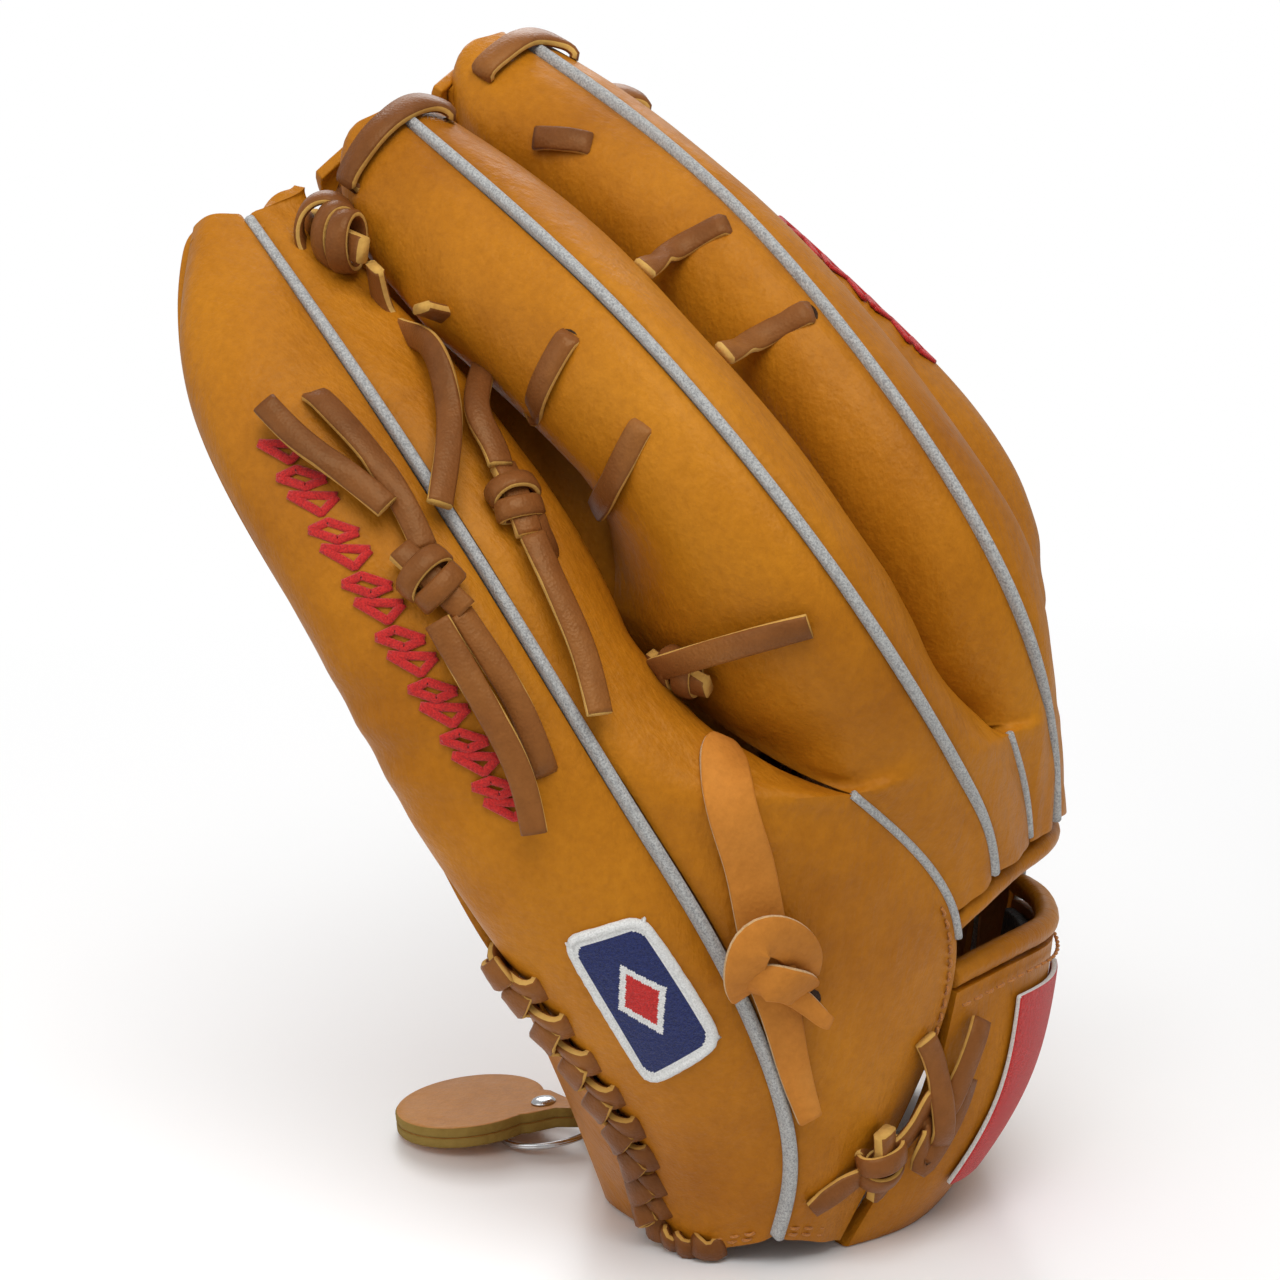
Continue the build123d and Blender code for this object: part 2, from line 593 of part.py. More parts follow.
def tails():
    for name, route in TAILS.items():
        points = over_panels(route, TAIL_LIFT)
        shape, radii = tube(points, TAIL_R)
        keep(name, shape)
        length = shape.volume / (np.pi * TAIL_R ** 2)
        print(name, "radii", [round(float(r), 1) for r in radii], "length", round(length, 1))
        print("   ", [tuple(round(float(value), 1) for value in point) for point in points])


# ---- split ring and leather tag behind the heel ----
RING_R = 12.5
WIRE_R = 1.1
RING_JOIN = (-17.0, 55.0, 4.8)       # wire inside the tag's folded end
TAG_DIRECTION = (-0.205, 0.979, 0)
RING_SLOPE = 8.3                     # degrees, down towards the tag's far end
TAG_SLOPE = 6.1
HEEL_SIDE_ANGLE = 45.0               # from the tag's fold round to the heel lace's loop
TAG_PLY = 2.6
NECK = [(0, 4), (8, 4), (13, 9.5), (34, 9.5)]
OVAL = (34.0, 20.0, 21.0)
FOLD_R = (2.1, 4.1)
FOLD_W = 7.0


def tag_plane(slope):
    """Frame at the wire in the fold: x along the tag, sloping down by slope degrees."""
    drop = np.tan(np.radians(slope))
    ahead = (TAG_DIRECTION[0], TAG_DIRECTION[1], -drop)
    side = Vector(*TAG_DIRECTION).cross(Vector(0, 0, 1))
    return Plane(origin=RING_JOIN, x_dir=ahead, z_dir=side.cross(Vector(*ahead)))


def tag_outline(start):
    side = [(max(x, start), y) for x, y in NECK]
    neck = make_face(Polyline(*side, *[(x, -y) for x, y in side[::-1]], close=True))
    return neck + Pos(OVAL[0], 0) * Ellipse(OVAL[1], OVAL[2])


def tag_and_ring():
    ring_frame = tag_plane(RING_SLOPE)
    keep("split_ring", ring_frame * (Pos(RING_R, 0, 0) * Torus(RING_R, WIRE_R)))
    tag_frame = tag_plane(TAG_SLOPE)
    fold = Rot(90, 0, 0) * (Cylinder(FOLD_R[1], FOLD_W) - Cylinder(FOLD_R[0], FOLD_W))
    low = FOLD_R[1] - TAG_PLY + 0.2
    lower = Pos(0, 0, low) * extrude(tag_outline(0), amount=TAG_PLY)
    hole = Pos(13, 0, 0) * Cylinder(1.7, 40)
    keep("tag_lower_ply", tag_frame * (lower + fold - hole - Rot(90, 0, 0) * Cylinder(FOLD_R[0], 40)))
    upper = Pos(0, 0, low + TAG_PLY + 0.2) * extrude(tag_outline(1.0), amount=TAG_PLY)
    keep("tag_upper_ply", tag_frame * (upper - hole))
    stem = Cylinder(1.6, 2 * TAG_PLY + 0.3, align=(Align.CENTER, Align.CENTER, Align.MIN))
    head = Cylinder(3.0, 1.0, align=(Align.CENTER, Align.CENTER, Align.MIN))
    rivet = Pos(13, 0, low) * stem + Pos(13, 0, low + 2 * TAG_PLY + 0.3) * head
    keep("tag_rivet", tag_frame * rivet)
    centre = ring_frame.from_local_coords(Vector(RING_R, 0, 0))
    angle = np.radians(180 - HEEL_SIDE_ANGLE)
    local = Vector(RING_R + RING_R * np.cos(angle), -RING_R * np.sin(angle), 0)
    at = ring_frame.from_local_coords(local)
    away = (at - centre)
    flat = Vector(away.X, away.Y, 0).normalized()
    loop = Plane(origin=at + flat * 8, x_dir=flat, z_dir=flat.cross(Vector(0, 0, 1)))
    outer = extrude(SlotOverall(23, 7.4), amount=2.0, both=True)
    inner = extrude(SlotOverall(19, 3.9), amount=2.0, both=True)
    keep("tag_lace_loop", loop * (outer - inner))
    print("ring hinge at", at, "centre", centre, "wire direction", (at - centre).cross(ring_frame.z_dir))
    print("tag hinge at", RING_JOIN, "axis", Vector(*TAG_DIRECTION).cross(Vector(0, 0, 1)))


def write_parts():
    os.makedirs("parts", exist_ok=True)
    for name, shape in NODES.items():
        export_step(Pos(*ROW_SHIFT) * shape, f"parts/{name}.step")


back_panels()
palm_shell()
pads_and_linings()
wrist_strap()
opening_binding()
welts()
web()
laces()
knots()
trims()
tails()
tag_and_ring()
write_parts()
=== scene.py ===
import bpy
import math
import numpy as np
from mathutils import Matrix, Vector


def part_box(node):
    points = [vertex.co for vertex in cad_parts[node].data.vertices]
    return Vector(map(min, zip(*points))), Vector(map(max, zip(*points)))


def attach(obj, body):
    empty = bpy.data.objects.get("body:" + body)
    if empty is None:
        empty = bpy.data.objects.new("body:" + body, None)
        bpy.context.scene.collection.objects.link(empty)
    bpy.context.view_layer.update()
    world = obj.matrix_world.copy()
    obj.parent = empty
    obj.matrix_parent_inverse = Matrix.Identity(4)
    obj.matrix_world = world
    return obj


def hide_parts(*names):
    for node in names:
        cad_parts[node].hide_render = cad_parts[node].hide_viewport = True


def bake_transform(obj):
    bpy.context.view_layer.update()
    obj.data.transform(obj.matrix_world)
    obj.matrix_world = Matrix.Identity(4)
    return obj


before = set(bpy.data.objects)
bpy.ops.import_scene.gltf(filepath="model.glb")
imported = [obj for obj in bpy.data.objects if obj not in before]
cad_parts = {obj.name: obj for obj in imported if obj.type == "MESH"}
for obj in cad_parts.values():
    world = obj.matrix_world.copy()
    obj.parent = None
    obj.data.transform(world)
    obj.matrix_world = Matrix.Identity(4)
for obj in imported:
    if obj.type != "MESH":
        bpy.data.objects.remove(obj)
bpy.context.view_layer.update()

# Shapes are worked out in millimetres about the glove's cuff, then shifted and scaled.
SHIFT = np.array([-8.2, -28.5, 0.0])

RIDGE = {
    "pinky": [(-62, -24, 8), (-70, -31, 40), (-89, -24, 86), (-104, -7, 126),
              (-109, 22, 170), (-100, 64, 213), (-82, 112, 250)],
    "ring": [(-29, -42, 10), (-25, -56, 46), (-31, -65, 96), (-53, -64, 132),
             (-80, -46, 180), (-79, 10, 234), (-57, 86, 275)],
    "middle": [(5, -46, 10), (9, -61, 48), (-2, -68, 102), (-13, -70, 134),
               (-35, -60, 184), (-26, 6, 250), (-7, 84, 290)],
    "index": [(37, -30, 10), (41, -42, 48), (31, -52, 98), (27, -48, 130),
              (22, -28, 182), (25, 28, 238), (35, 86, 272)],
    "thumb": [(63, -12, 8), (71, -16, 40), (91, -8, 84), (111, 12, 122),
              (125, 38, 163), (128, 70, 203), (117, 102, 236)],
}
FRONT = {
    "pinky": [(-40, 32, -3), (-57, 36, 36), (-77, 38, 80), (-87, 40, 122),
              (-87, 64, 160), (-77, 98, 196), (-67, 126, 230)],
    "ring": [(-17, 44, -3), (-23, 42, 36), (-35, 24, 80), (-43, -8, 128),
             (-57, -14, 172), (-53, 32, 216), (-46, 102, 256)],
    "middle": [(3, 46, -3), (3, 42, 36), (1, 18, 80), (-3, -20, 128),
               (-21, -28, 176), (-17, 30, 226), (-4, 100, 270)],
    "index": [(23, 44, -3), (27, 40, 36), (33, 20, 80), (37, -14, 126),
              (33, -10, 178), (33, 48, 216), (41, 102, 252)],
    "thumb": [(43, 32, -3), (57, 35, 36), (73, 34, 80), (87, 34, 122),
              (97, 56, 156), (99, 82, 192), (97, 110, 224)],
}
EDGE = {
    "pinky": [(-53, 12, -3), (-75, 11, 38), (-101, 30, 86), (-116, 50, 127),
              (-121, 75, 169), (-112, 108, 211), (-87, 124, 246)],
    "thumb": [(53, 18, -3), (75, 17, 38), (105, 34, 84), (125, 58, 122),
              (137, 82, 158), (137, 108, 196), (119, 124, 226)],
}
# Seams between one finger's panel and the next one's, up to the crotch.
SEAM = {
    "pinky": [(-44, -32, 2), (-33, -47, 42), (-39, -59, 88), (-71, -47, 126)],
    "ring": [(-13, -44, 10), (-9, -59, 47), (-15, -67, 100), (-29, -67, 133)],
    "middle": [(21, -40, 10), (25, -54, 48), (15, -62, 101), (9, -61, 132)],
    "index": [(49, -22, 9), (57, -30, 44), (59, -34, 90), (65, -24, 124)],
}
NEXT_INWARD = {"ring": "pinky", "middle": "ring", "index": "middle", "thumb": "index"}
HALF_WIDTH = {
    "pinky": (24, 24, 28, 27), "ring": (20, 21, 24, 26), "middle": (20, 21, 24, 26),
    "index": (20, 22, 24, 24), "thumb": (24, 25, 25, 24),
}
PINKY_INNER = (24, 34, 38, 31)     # the little finger reaches further towards the ring finger
CROTCH = {"pinky": 3.5, "ring": 3.35, "middle": 3.35, "index": 3.1}
LAST_SEAM = 3.0
WIDTH_SHARE = 0.455
PINKY_SHARE = 0.52
HALF_SLIT = 3.5
HEEL_CREASE_HALF = 6.0
FINGERS = ("pinky", "ring", "middle", "index")
TIP = 6.0




def spline(points, stations):
    """Natural cubic spline through points, read at an array of station numbers."""
    knots = np.asarray(points, float)
    count = len(knots)
    system = np.eye(count)
    bend = np.zeros_like(knots)
    for i in range(1, count - 1):
        system[i, i - 1:i + 2] = (1, 4, 1)
        bend[i] = 6 * (knots[i + 1] - 2 * knots[i] + knots[i - 1])
    second = np.linalg.solve(system, bend)
    t = np.clip(np.atleast_1d(np.asarray(stations, float)), 0, count - 1)
    k = np.minimum(t.astype(int), count - 2)
    f = (t - k)[:, None]
    g = 1 - f
    curve = ((g ** 3 - g) * second[k] + (f ** 3 - f) * second[k + 1]) / 6
    return g * knots[k] + f * knots[k + 1] + curve


def unit(vectors):
    return vectors / np.maximum(np.linalg.norm(vectors, axis=-1, keepdims=True), 1e-9)


def tip_rounding(t):
    """0 along the finger, rising to 1 at the very tip like the side of a ball."""
    share = np.clip((np.asarray(t, float) - 5.6) / 0.4, 0, 1)
    return (1 - np.sqrt(1 - share ** 2))[:, None]


def finger_axes(finger, t):
    """Ridge and front points with the outward and thumbward directions at stations t."""
    ridge = spline(RIDGE[finger], t)
    front = spline(FRONT[finger], t)
    front = front + (ridge - front) * 0.6 * tip_rounding(t)
    ahead = spline(RIDGE[finger], np.minimum(t + 0.02, TIP))
    behind = spline(RIDGE[finger], np.maximum(t - 0.02, 0))
    along = unit(ahead - behind)
    outward = unit(ridge - front)
    across = unit(np.cross(along, outward))
    return ridge, front, outward, across, along


def heel_half_width(finger, side):
    """Half width at the sole, narrow beside the crease that the thumb folds along."""
    beside_crease = (finger, side) in (("index", 1), ("thumb", -1))
    return HEEL_CREASE_HALF if beside_crease else HALF_WIDTH[finger][0]


def half_width(finger, t, side=1):
    """Half the finger's width, kept inside the middle plane it shares with a neighbour."""
    widths = PINKY_INNER if (finger, side) == ("pinky", 1) else HALF_WIDTH[finger]
    width = np.interp(t, [0, 3, 4, 5, 6], (heel_half_width(finger, side), *widths))
    place = FINGERS.index(finger) + side if finger in FINGERS else -1
    if 0 <= place < len(FINGERS):
        other = FINGERS[place]
        for curves in (RIDGE, FRONT):
            spacing = np.linalg.norm(spline(curves[finger], t) - spline(curves[other], t), axis=1)
            share = PINKY_SHARE if (finger, side) == ("pinky", 1) else WIDTH_SHARE
            width = np.minimum(width, spacing * share)
    return width[:, None] * (1 - 0.45 * tip_rounding(t))


def gap_edge(finger, side, t):
    """Edge of the palm leather beside the slit between a finger and its neighbour."""
    near = finger_axes(finger, t)[1]
    far = finger_axes(FINGERS[FINGERS.index(finger) + side], t)[1]
    spacing = np.linalg.norm(far - near, axis=1)[:, None]
    return near + (far - near) * (0.5 - HALF_SLIT / spacing)


def panel_grid(finger, side, t, u):
    """Outer surface of a back panel: u runs from the ridge seam (0) to the far edge (1)."""
    t = np.asarray(t, float)
    ridge, front, outward, across, along = finger_axes(finger, t)
    toward = across * side
    half = half_width(finger, t, side)
    depth = np.linalg.norm(ridge - front, axis=1)[:, None]
    p1 = ridge + toward * half * 0.80 - outward
    p2 = front + outward * depth * 0.42 + toward * half * 1.28
    p3 = front + toward * (half - 3)
    if (finger, side) == ("ring", -1):
        joined = np.clip((4.7 - t) / 0.8, 0, 1)[:, None]
        p3 = p3 * (1 - joined) + (gap_edge(finger, side, t) + outward * 2) * joined
    if (finger, side) == ("pinky", 1):
        p3 = gap_edge(finger, side, t) + outward * 2
        p2 = p3 + outward * depth * 0.45 + toward * 4
    if (finger, side) in (("pinky", -1), ("thumb", 1)):
        p3 = spline(EDGE[finger], t)
        span = p3 - ridge
        bulge = unit(np.cross(span, along))
        bulge = bulge * np.sign((bulge * outward).sum(1))[:, None]
        bulge = bulge * np.linalg.norm(span, axis=1)[:, None]
        p1 = ridge + span * 0.38 + bulge * 0.24
        p2 = ridge + span * 0.92 + bulge * 0.26
    else:
        seam = finger if side > 0 else NEXT_INWARD[finger]
        valley = spline(SEAM[seam], np.minimum(t, LAST_SEAM))
        span = valley - ridge
        length = np.linalg.norm(span, axis=1)[:, None]
        opening = np.clip((t - LAST_SEAM) / (CROTCH[seam] - LAST_SEAM + 0.25), 0, 1)
        opening = (opening ** 2 * (3 - 2 * opening))[:, None]
        p1 = (ridge + span * 0.36 + outward * length * 0.10) * (1 - opening) + p1 * opening
        p2 = (ridge + span * 0.72 + outward * length * 0.08) * (1 - opening) + p2 * opening
        p3 = valley * (1 - opening) + p3 * opening
    u = np.asarray(u, float)[None, :, None]
    p0, p1, p2, p3 = [p[:, None, :] for p in (ridge, p1, p2, p3)]
    return (1 - u) ** 3 * p0 + 3 * (1 - u) ** 2 * u * p1 + 3 * (1 - u) * u ** 2 * p2 + u ** 3 * p3


def front_grid(columns, t, lift):
    """Palm-side surface through the listed columns, lifted towards the ball by lift."""
    rows = []
    for finger, place in columns:
        ridge, front, outward, across, along = finger_axes(finger, t)
        point = front
        if place == "edge":
            point = spline(EDGE[finger], t)
        elif place in ("gap before", "gap after"):
            point = gap_edge(finger, 1 if place == "gap after" else -1, t)
        else:
            side = 1 if place > 0 else -1
            point = front + across * (half_width(finger, t, side) - 2) * place
        rows.append(point - outward * lift)
    return np.stack(rows, axis=1)


def normals(grid, toward):
    """Unit normals of a grid, all turned to the side of the point toward."""
    normal = unit(np.cross(np.gradient(grid, axis=0), np.gradient(grid, axis=1)))
    facing = (normal * (np.asarray(toward, float) - grid)).sum(-1)
    return normal * np.sign(facing.sum())


INSIDE = {
    "pinky": (-60, 30, 120), "ring": (-45, 20, 150), "middle": (-12, 10, 160),
    "index": (28, 20, 160), "thumb": (80, 50, 120),
}
START = {"pinky": 0.0, "ring": 2.05, "middle": 2.05, "index": 2.05, "thumb": 0.0}
BALL_SIDE = (0, 300, 150)
ROWS = np.array([0, 0.6, 1.2, 1.8, 2.4, 3.0, 3.6, 4.2, 4.8, 5.4, 5.7, 5.9, 6.0])
HAND = (0, -10, 60)


def outer_side(finger):
    """The side of a finger that faces away from the middle of the glove."""
    return 1 if finger == "thumb" else -1


PALM_COLUMNS = [("pinky", "edge"), ("pinky", 0), ("pinky", 0.9), ("ring", -0.9), ("ring", 0.9),
                ("middle", -0.9), ("middle", 0.9), ("index", -0.9), ("index", 0.9)]
PALM_TOP = 3.6           # above this station the palm leather is cut into finger strips
THUMB_COLUMNS = [("thumb", -0.9), ("thumb", 0), ("thumb", "edge")]


def palm_grid(columns, stations, places):
    """Palm surface at column places (0 is the first column) and stations."""
    known = front_grid(columns, stations, 0)
    return np.stack([spline(row, places) for row in known])


STRAP_ROWS = [
    [(-42, -32, -2), (-22, -39, -2), (4, -38, -2), (30, -31, -2), (46, -19, -2)],
    [(-38.5, -39.5, 14), (-20, -50, 14), (6, -47, 13), (32, -38, 13), (49, -24, 12)],
    [(-31.5, -49, 38), (-12, -60, 38), (12, -57, 37), (34, -46, 36), (52, -32, 35)],
    [(-31, -56, 67), (-8, -63, 70), (15, -61, 68), (37, -50, 66), (54, -37, 63)],
]


def strap_grid(rows, columns):
    """Outer face of the strap at row places 0 to 3 and column places 0 to 4."""
    upright = [spline(column, rows) for column in np.swapaxes(np.array(STRAP_ROWS, float), 0, 1)]
    lying = np.swapaxes(np.array(upright), 0, 1)
    return np.stack([spline(row, columns) for row in lying])


WEB_BOW = 8.0
WEB_INSIDE = (60, 300, 180)


def web_grid(stations, shares):
    """Surface from the index finger's inner edge (share 0) to the thumb's (share 1)."""
    near = front_grid([("index", 1)], stations, 0)[:, 0]
    far = front_grid([("thumb", -1)], stations, 0)[:, 0]
    outward = unit(finger_axes("index", stations)[2] + finger_axes("thumb", stations)[2])
    shares = np.asarray(shares, float)[None, :, None]
    bow = 4 * shares * (1 - shares) * WEB_BOW + 2
    near, far, outward = near[:, None], far[:, None], outward[:, None]
    return near * (1 - shares) + far * shares + outward * bow


def metres(points):
    return (np.asarray(points, float) + SHIFT) / 1000


# ---- materials ----
def material(name, build):
    mat = bpy.data.materials.new(name)
    mat.use_nodes = True
    nodes, links = mat.node_tree.nodes, mat.node_tree.links
    shader = nodes["Principled BSDF"]
    where = nodes.new("ShaderNodeTexCoord").outputs["Object"]
    build(nodes, links, shader, where)
    return mat


def noise(nodes, links, where, scale, detail=4.0, rough=0.55, stretch=None):
    tex = nodes.new("ShaderNodeTexNoise")
    tex.inputs["Scale"].default_value = scale
    tex.inputs["Detail"].default_value = detail
    tex.inputs["Roughness"].default_value = rough
    if stretch:
        mapping = nodes.new("ShaderNodeMapping")
        mapping.inputs["Scale"].default_value = stretch
        links.new(where, mapping.inputs["Vector"])
        where = mapping.outputs["Vector"]
    links.new(where, tex.inputs["Vector"])
    return tex.outputs["Fac"]


def ramp(nodes, links, value, stops):
    node = nodes.new("ShaderNodeValToRGB")
    elements = node.color_ramp.elements
    while len(elements) < len(stops):
        elements.new(0.5)
    for element, (place, color) in zip(elements, stops):
        element.position = place
        element.color = (*color, 1)
    links.new(value, node.inputs["Fac"])
    return node.outputs["Color"]


def mix(nodes, links, kind, factor, a, b):
    node = nodes.new("ShaderNodeMixRGB")
    node.blend_type = kind
    for socket, value in (("Fac", factor), ("Color1", a), ("Color2", b)):
        if isinstance(value, (int, float)):
            node.inputs[socket].default_value = value
        elif isinstance(value, tuple):
            node.inputs[socket].default_value = (*value, 1)
        else:
            links.new(value, node.inputs[socket])
    return node.outputs["Color"]


def bump(nodes, links, shader, layers):
    last = None
    for value, distance, strength in layers:
        node = nodes.new("ShaderNodeBump")
        node.inputs["Distance"].default_value = distance
        node.inputs["Strength"].default_value = strength
        links.new(value, node.inputs["Height"])
        if last:
            links.new(last, node.inputs["Normal"])
        last = node.outputs["Normal"]
    links.new(last, shader.inputs["Normal"])


def leather(dark, mid, light, rough=0.42, grain=0.00018, cell=900, crease=True):
    def build(nodes, links, shader, where):
        clouds = noise(nodes, links, where, 14, 5)
        base = ramp(nodes, links, clouds, [(0.3, dark), (0.52, mid), (0.75, light)])
        fine = noise(nodes, links, where, 420, 6, 0.7)
        base = mix(nodes, links, "MULTIPLY", 0.55, base,
                   ramp(nodes, links, fine, [(0.3, (0.72, 0.68, 0.62)), (0.62, (1, 1, 1))]))
        pores = nodes.new("ShaderNodeTexVoronoi")
        pores.inputs["Scale"].default_value = cell
        links.new(where, pores.inputs["Vector"])
        wrinkle = noise(nodes, links, where, 95, 8, 0.72)
        links.new(base, shader.inputs["Base Color"])
        rough_map = ramp(nodes, links, noise(nodes, links, where, 60, 4),
                         [(0.3, (rough - 0.07,) * 3), (0.7, (rough + 0.1,) * 3)])
        links.new(rough_map, shader.inputs["Roughness"])
        shader.inputs["Specular IOR Level"].default_value = 0.26
        shader.inputs["Specular Tint"].default_value = (1.0, 0.74, 0.42, 1)
        layers = [(pores.outputs["Distance"], grain, 0.45), (fine, 0.00012, 0.5)]
        if crease:
            layers.append((wrinkle, 0.0013, 0.26))
            pulled = noise(nodes, links, where, 62, 6, 0.6, (2.6, 1.0, 0.55))
            layers.append((pulled, 0.0040, 0.30))
        bump(nodes, links, shader, layers)
    return build


def cloth(color, second, scale=1400, rough=0.95, depth=0.0006, sheen=0.2):
    def build(nodes, links, shader, where):
        speck = noise(nodes, links, where, scale, 3, 0.8)
        base = ramp(nodes, links, speck, [(0.38, second), (0.6, color)])
        links.new(base, shader.inputs["Base Color"])
        shader.inputs["Roughness"].default_value = rough
        shader.inputs["Sheen Weight"].default_value = sheen
        shader.inputs["Specular IOR Level"].default_value = 0.15
        bump(nodes, links, shader, [(speck, depth, 0.7), (noise(nodes, links, where, scale / 3), depth, 0.6)])
    return build


def metal(color, rough):
    def build(nodes, links, shader, where):
        shader.inputs["Metallic"].default_value = 1.0
        scuffs = noise(nodes, links, where, 500, 6, 0.7)
        links.new(ramp(nodes, links, scuffs, [(0.3, color), (0.8, tuple(0.82 * c for c in color))]),
                  shader.inputs["Base Color"])
        shader.inputs["Roughness"].default_value = rough
        bump(nodes, links, shader, [(scuffs, 0.00004, 0.3)])
    return build


TAN = material("tan_leather", leather((0.30, 0.094, 0.004), (0.43, 0.152, 0.007), (0.52, 0.198, 0.010)))
LACE = material("lace_leather", leather((0.10, 0.030, 0.008), (0.21, 0.072, 0.018), (0.33, 0.13, 0.03),
                                        rough=0.38, cell=1300, crease=False))
RAW = material("raw_edge", leather((0.36, 0.17, 0.035), (0.62, 0.36, 0.09), (0.75, 0.50, 0.17),
                                   rough=0.85, crease=False))
TIE = material("suede_tie", leather((0.36, 0.13, 0.02), (0.54, 0.20, 0.03), (0.64, 0.27, 0.05),
                                    rough=0.72, crease=False))
TIE_EDGE = material("suede_edge", cloth((0.62, 0.42, 0.20), (0.45, 0.27, 0.11), 900))
BINDING = material("binding", leather((0.22, 0.085, 0.018), (0.36, 0.15, 0.03), (0.45, 0.20, 0.045),
                                      rough=0.5, crease=False))
LINING_MAT = material("lining", leather((0.30, 0.13, 0.05), (0.42, 0.20, 0.08), (0.50, 0.26, 0.11), rough=0.7))
TAG_MAT = material("tag_leather", leather((0.40, 0.16, 0.035), (0.52, 0.22, 0.05), (0.60, 0.28, 0.07), rough=0.45))
TAG_EDGE = material("tag_edge", leather((0.16, 0.10, 0.02), (0.26, 0.17, 0.04), (0.36, 0.24, 0.07), rough=0.8))
WELT = material("welt_felt", cloth((0.52, 0.52, 0.50), (0.24, 0.24, 0.24), 1900))
FELT = material("pad_felt", cloth((0.78, 0.75, 0.68), (0.55, 0.52, 0.46), 700))
FLEECE_MAT = material("fleece", cloth((0.035, 0.036, 0.038), (0.008, 0.008, 0.009), 500, depth=0.0012))
THREAD = material("thread", cloth((0.58, 0.23, 0.05), (0.36, 0.12, 0.02), 2600))
RED = material("red_thread", cloth((0.62, 0.022, 0.018), (0.36, 0.010, 0.010), 2200, rough=0.6))
WHITE = material("white_thread", cloth((0.82, 0.82, 0.80), (0.60, 0.60, 0.58), 2200, rough=0.8))
NAVY = material("navy_thread", cloth((0.018, 0.030, 0.14), (0.008, 0.012, 0.06), 2200, rough=0.7))
# painted shade: near-black colour for the inside of the lace holes, drawn on flat discs
HOLE_SHADE = material("hole_painted_shade", cloth((0.05, 0.022, 0.010), (0.02, 0.01, 0.005), 700))
STEEL = material("steel", metal((0.62, 0.62, 0.63), 0.22))


# ---- mesh helpers ----
def add_mesh(name, vertices, faces, mats, picks=None, smooth=True):
    mesh = bpy.data.meshes.new(name)
    mesh.from_pydata([tuple(v) for v in vertices], [], faces)
    for mat in mats:
        mesh.materials.append(mat)
    if picks is not None:
        mesh.polygons.foreach_set("material_index", picks)
    mesh.polygons.foreach_set("use_smooth", [smooth] * len(mesh.polygons))
    mesh.update()
    piece = bpy.data.objects.new(name, mesh)
    bpy.context.scene.collection.objects.link(piece)
    return piece


def sheet_data(grid, thickness, toward, lift=0.0):
    """Vertices, faces and edge-face marks of a closed sheet (mm)."""
    rows, cols = grid.shape[:2]
    inward = normals(grid, toward)
    outer = grid - inward * lift
    inner = outer + inward * thickness
    points = np.concatenate([outer.reshape(-1, 3), inner.reshape(-1, 3)])
    count = rows * cols
    flip = normals_flip(grid, toward)
    faces, marks = [], []
    for i in range(rows - 1):
        for j in range(cols - 1):
            a, b, c, d = i * cols + j, (i + 1) * cols + j, (i + 1) * cols + j + 1, i * cols + j + 1
            quad = (a, b, c, d) if flip else (d, c, b, a)
            faces.append(quad)
            faces.append(tuple(count + k for k in quad[::-1]))
            marks += [0, 1]
    loop = [j for j in range(cols)] + [i * cols + cols - 1 for i in range(1, rows)]
    loop += [(rows - 1) * cols + j for j in range(cols - 2, -1, -1)]
    loop += [i * cols for i in range(rows - 2, 0, -1)]
    for a, b in zip(loop, loop[1:] + loop[:1]):
        quad = (a, b, count + b, count + a)
        faces.append(quad if flip else quad[::-1])
        marks.append(2)
    return points, faces, marks


def normals_flip(grid, toward):
    """Whether the grid's own winding already faces away from toward."""
    own = np.cross(np.gradient(grid, axis=0), np.gradient(grid, axis=1))
    return ((own * (np.asarray(toward, float) - grid)).sum(-1)).sum() < 0


def above(points):
    """Keep a hem on or over the floor."""
    points = np.array(points, float)
    points[:, 2] = np.maximum(points[:, 2], 0.15)
    return points


def panel(name, grid, thickness, toward, node, mats, lift=0.0, bevel=0.9):
    points, faces, marks = sheet_data(grid, thickness, toward, lift)
    piece = add_mesh(name, metres(above(points)), faces, mats, marks)
    if bevel:
        rim = piece.modifiers.new("rim", "BEVEL")
        rim.width = bevel / 1000
        rim.segments = 3
        rim.limit_method = "ANGLE"
        rim.angle_limit = math.radians(55)
    if node:
        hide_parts(*([node] if isinstance(node, str) else node))
    return piece


def strip_frames(points, ups):
    points = np.asarray(points, float)
    along = unit(np.gradient(points, axis=0))
    across = unit(np.cross(along, ups))
    up = unit(np.cross(across, along))
    return along, across, up


def resample(points, spacing):
    """Natural spline through points, read at even steps of about spacing mm."""
    points = np.asarray(points, float)
    fine = spline(points, np.linspace(0, len(points) - 1, 40 * len(points)))
    steps = np.concatenate([[0], np.cumsum(np.linalg.norm(np.diff(fine, axis=0), axis=1))])
    places = np.linspace(0, steps[-1], max(4, int(steps[-1] / spacing) + 1))
    return np.stack([np.interp(places, steps, fine[:, k]) for k in range(3)], axis=1)


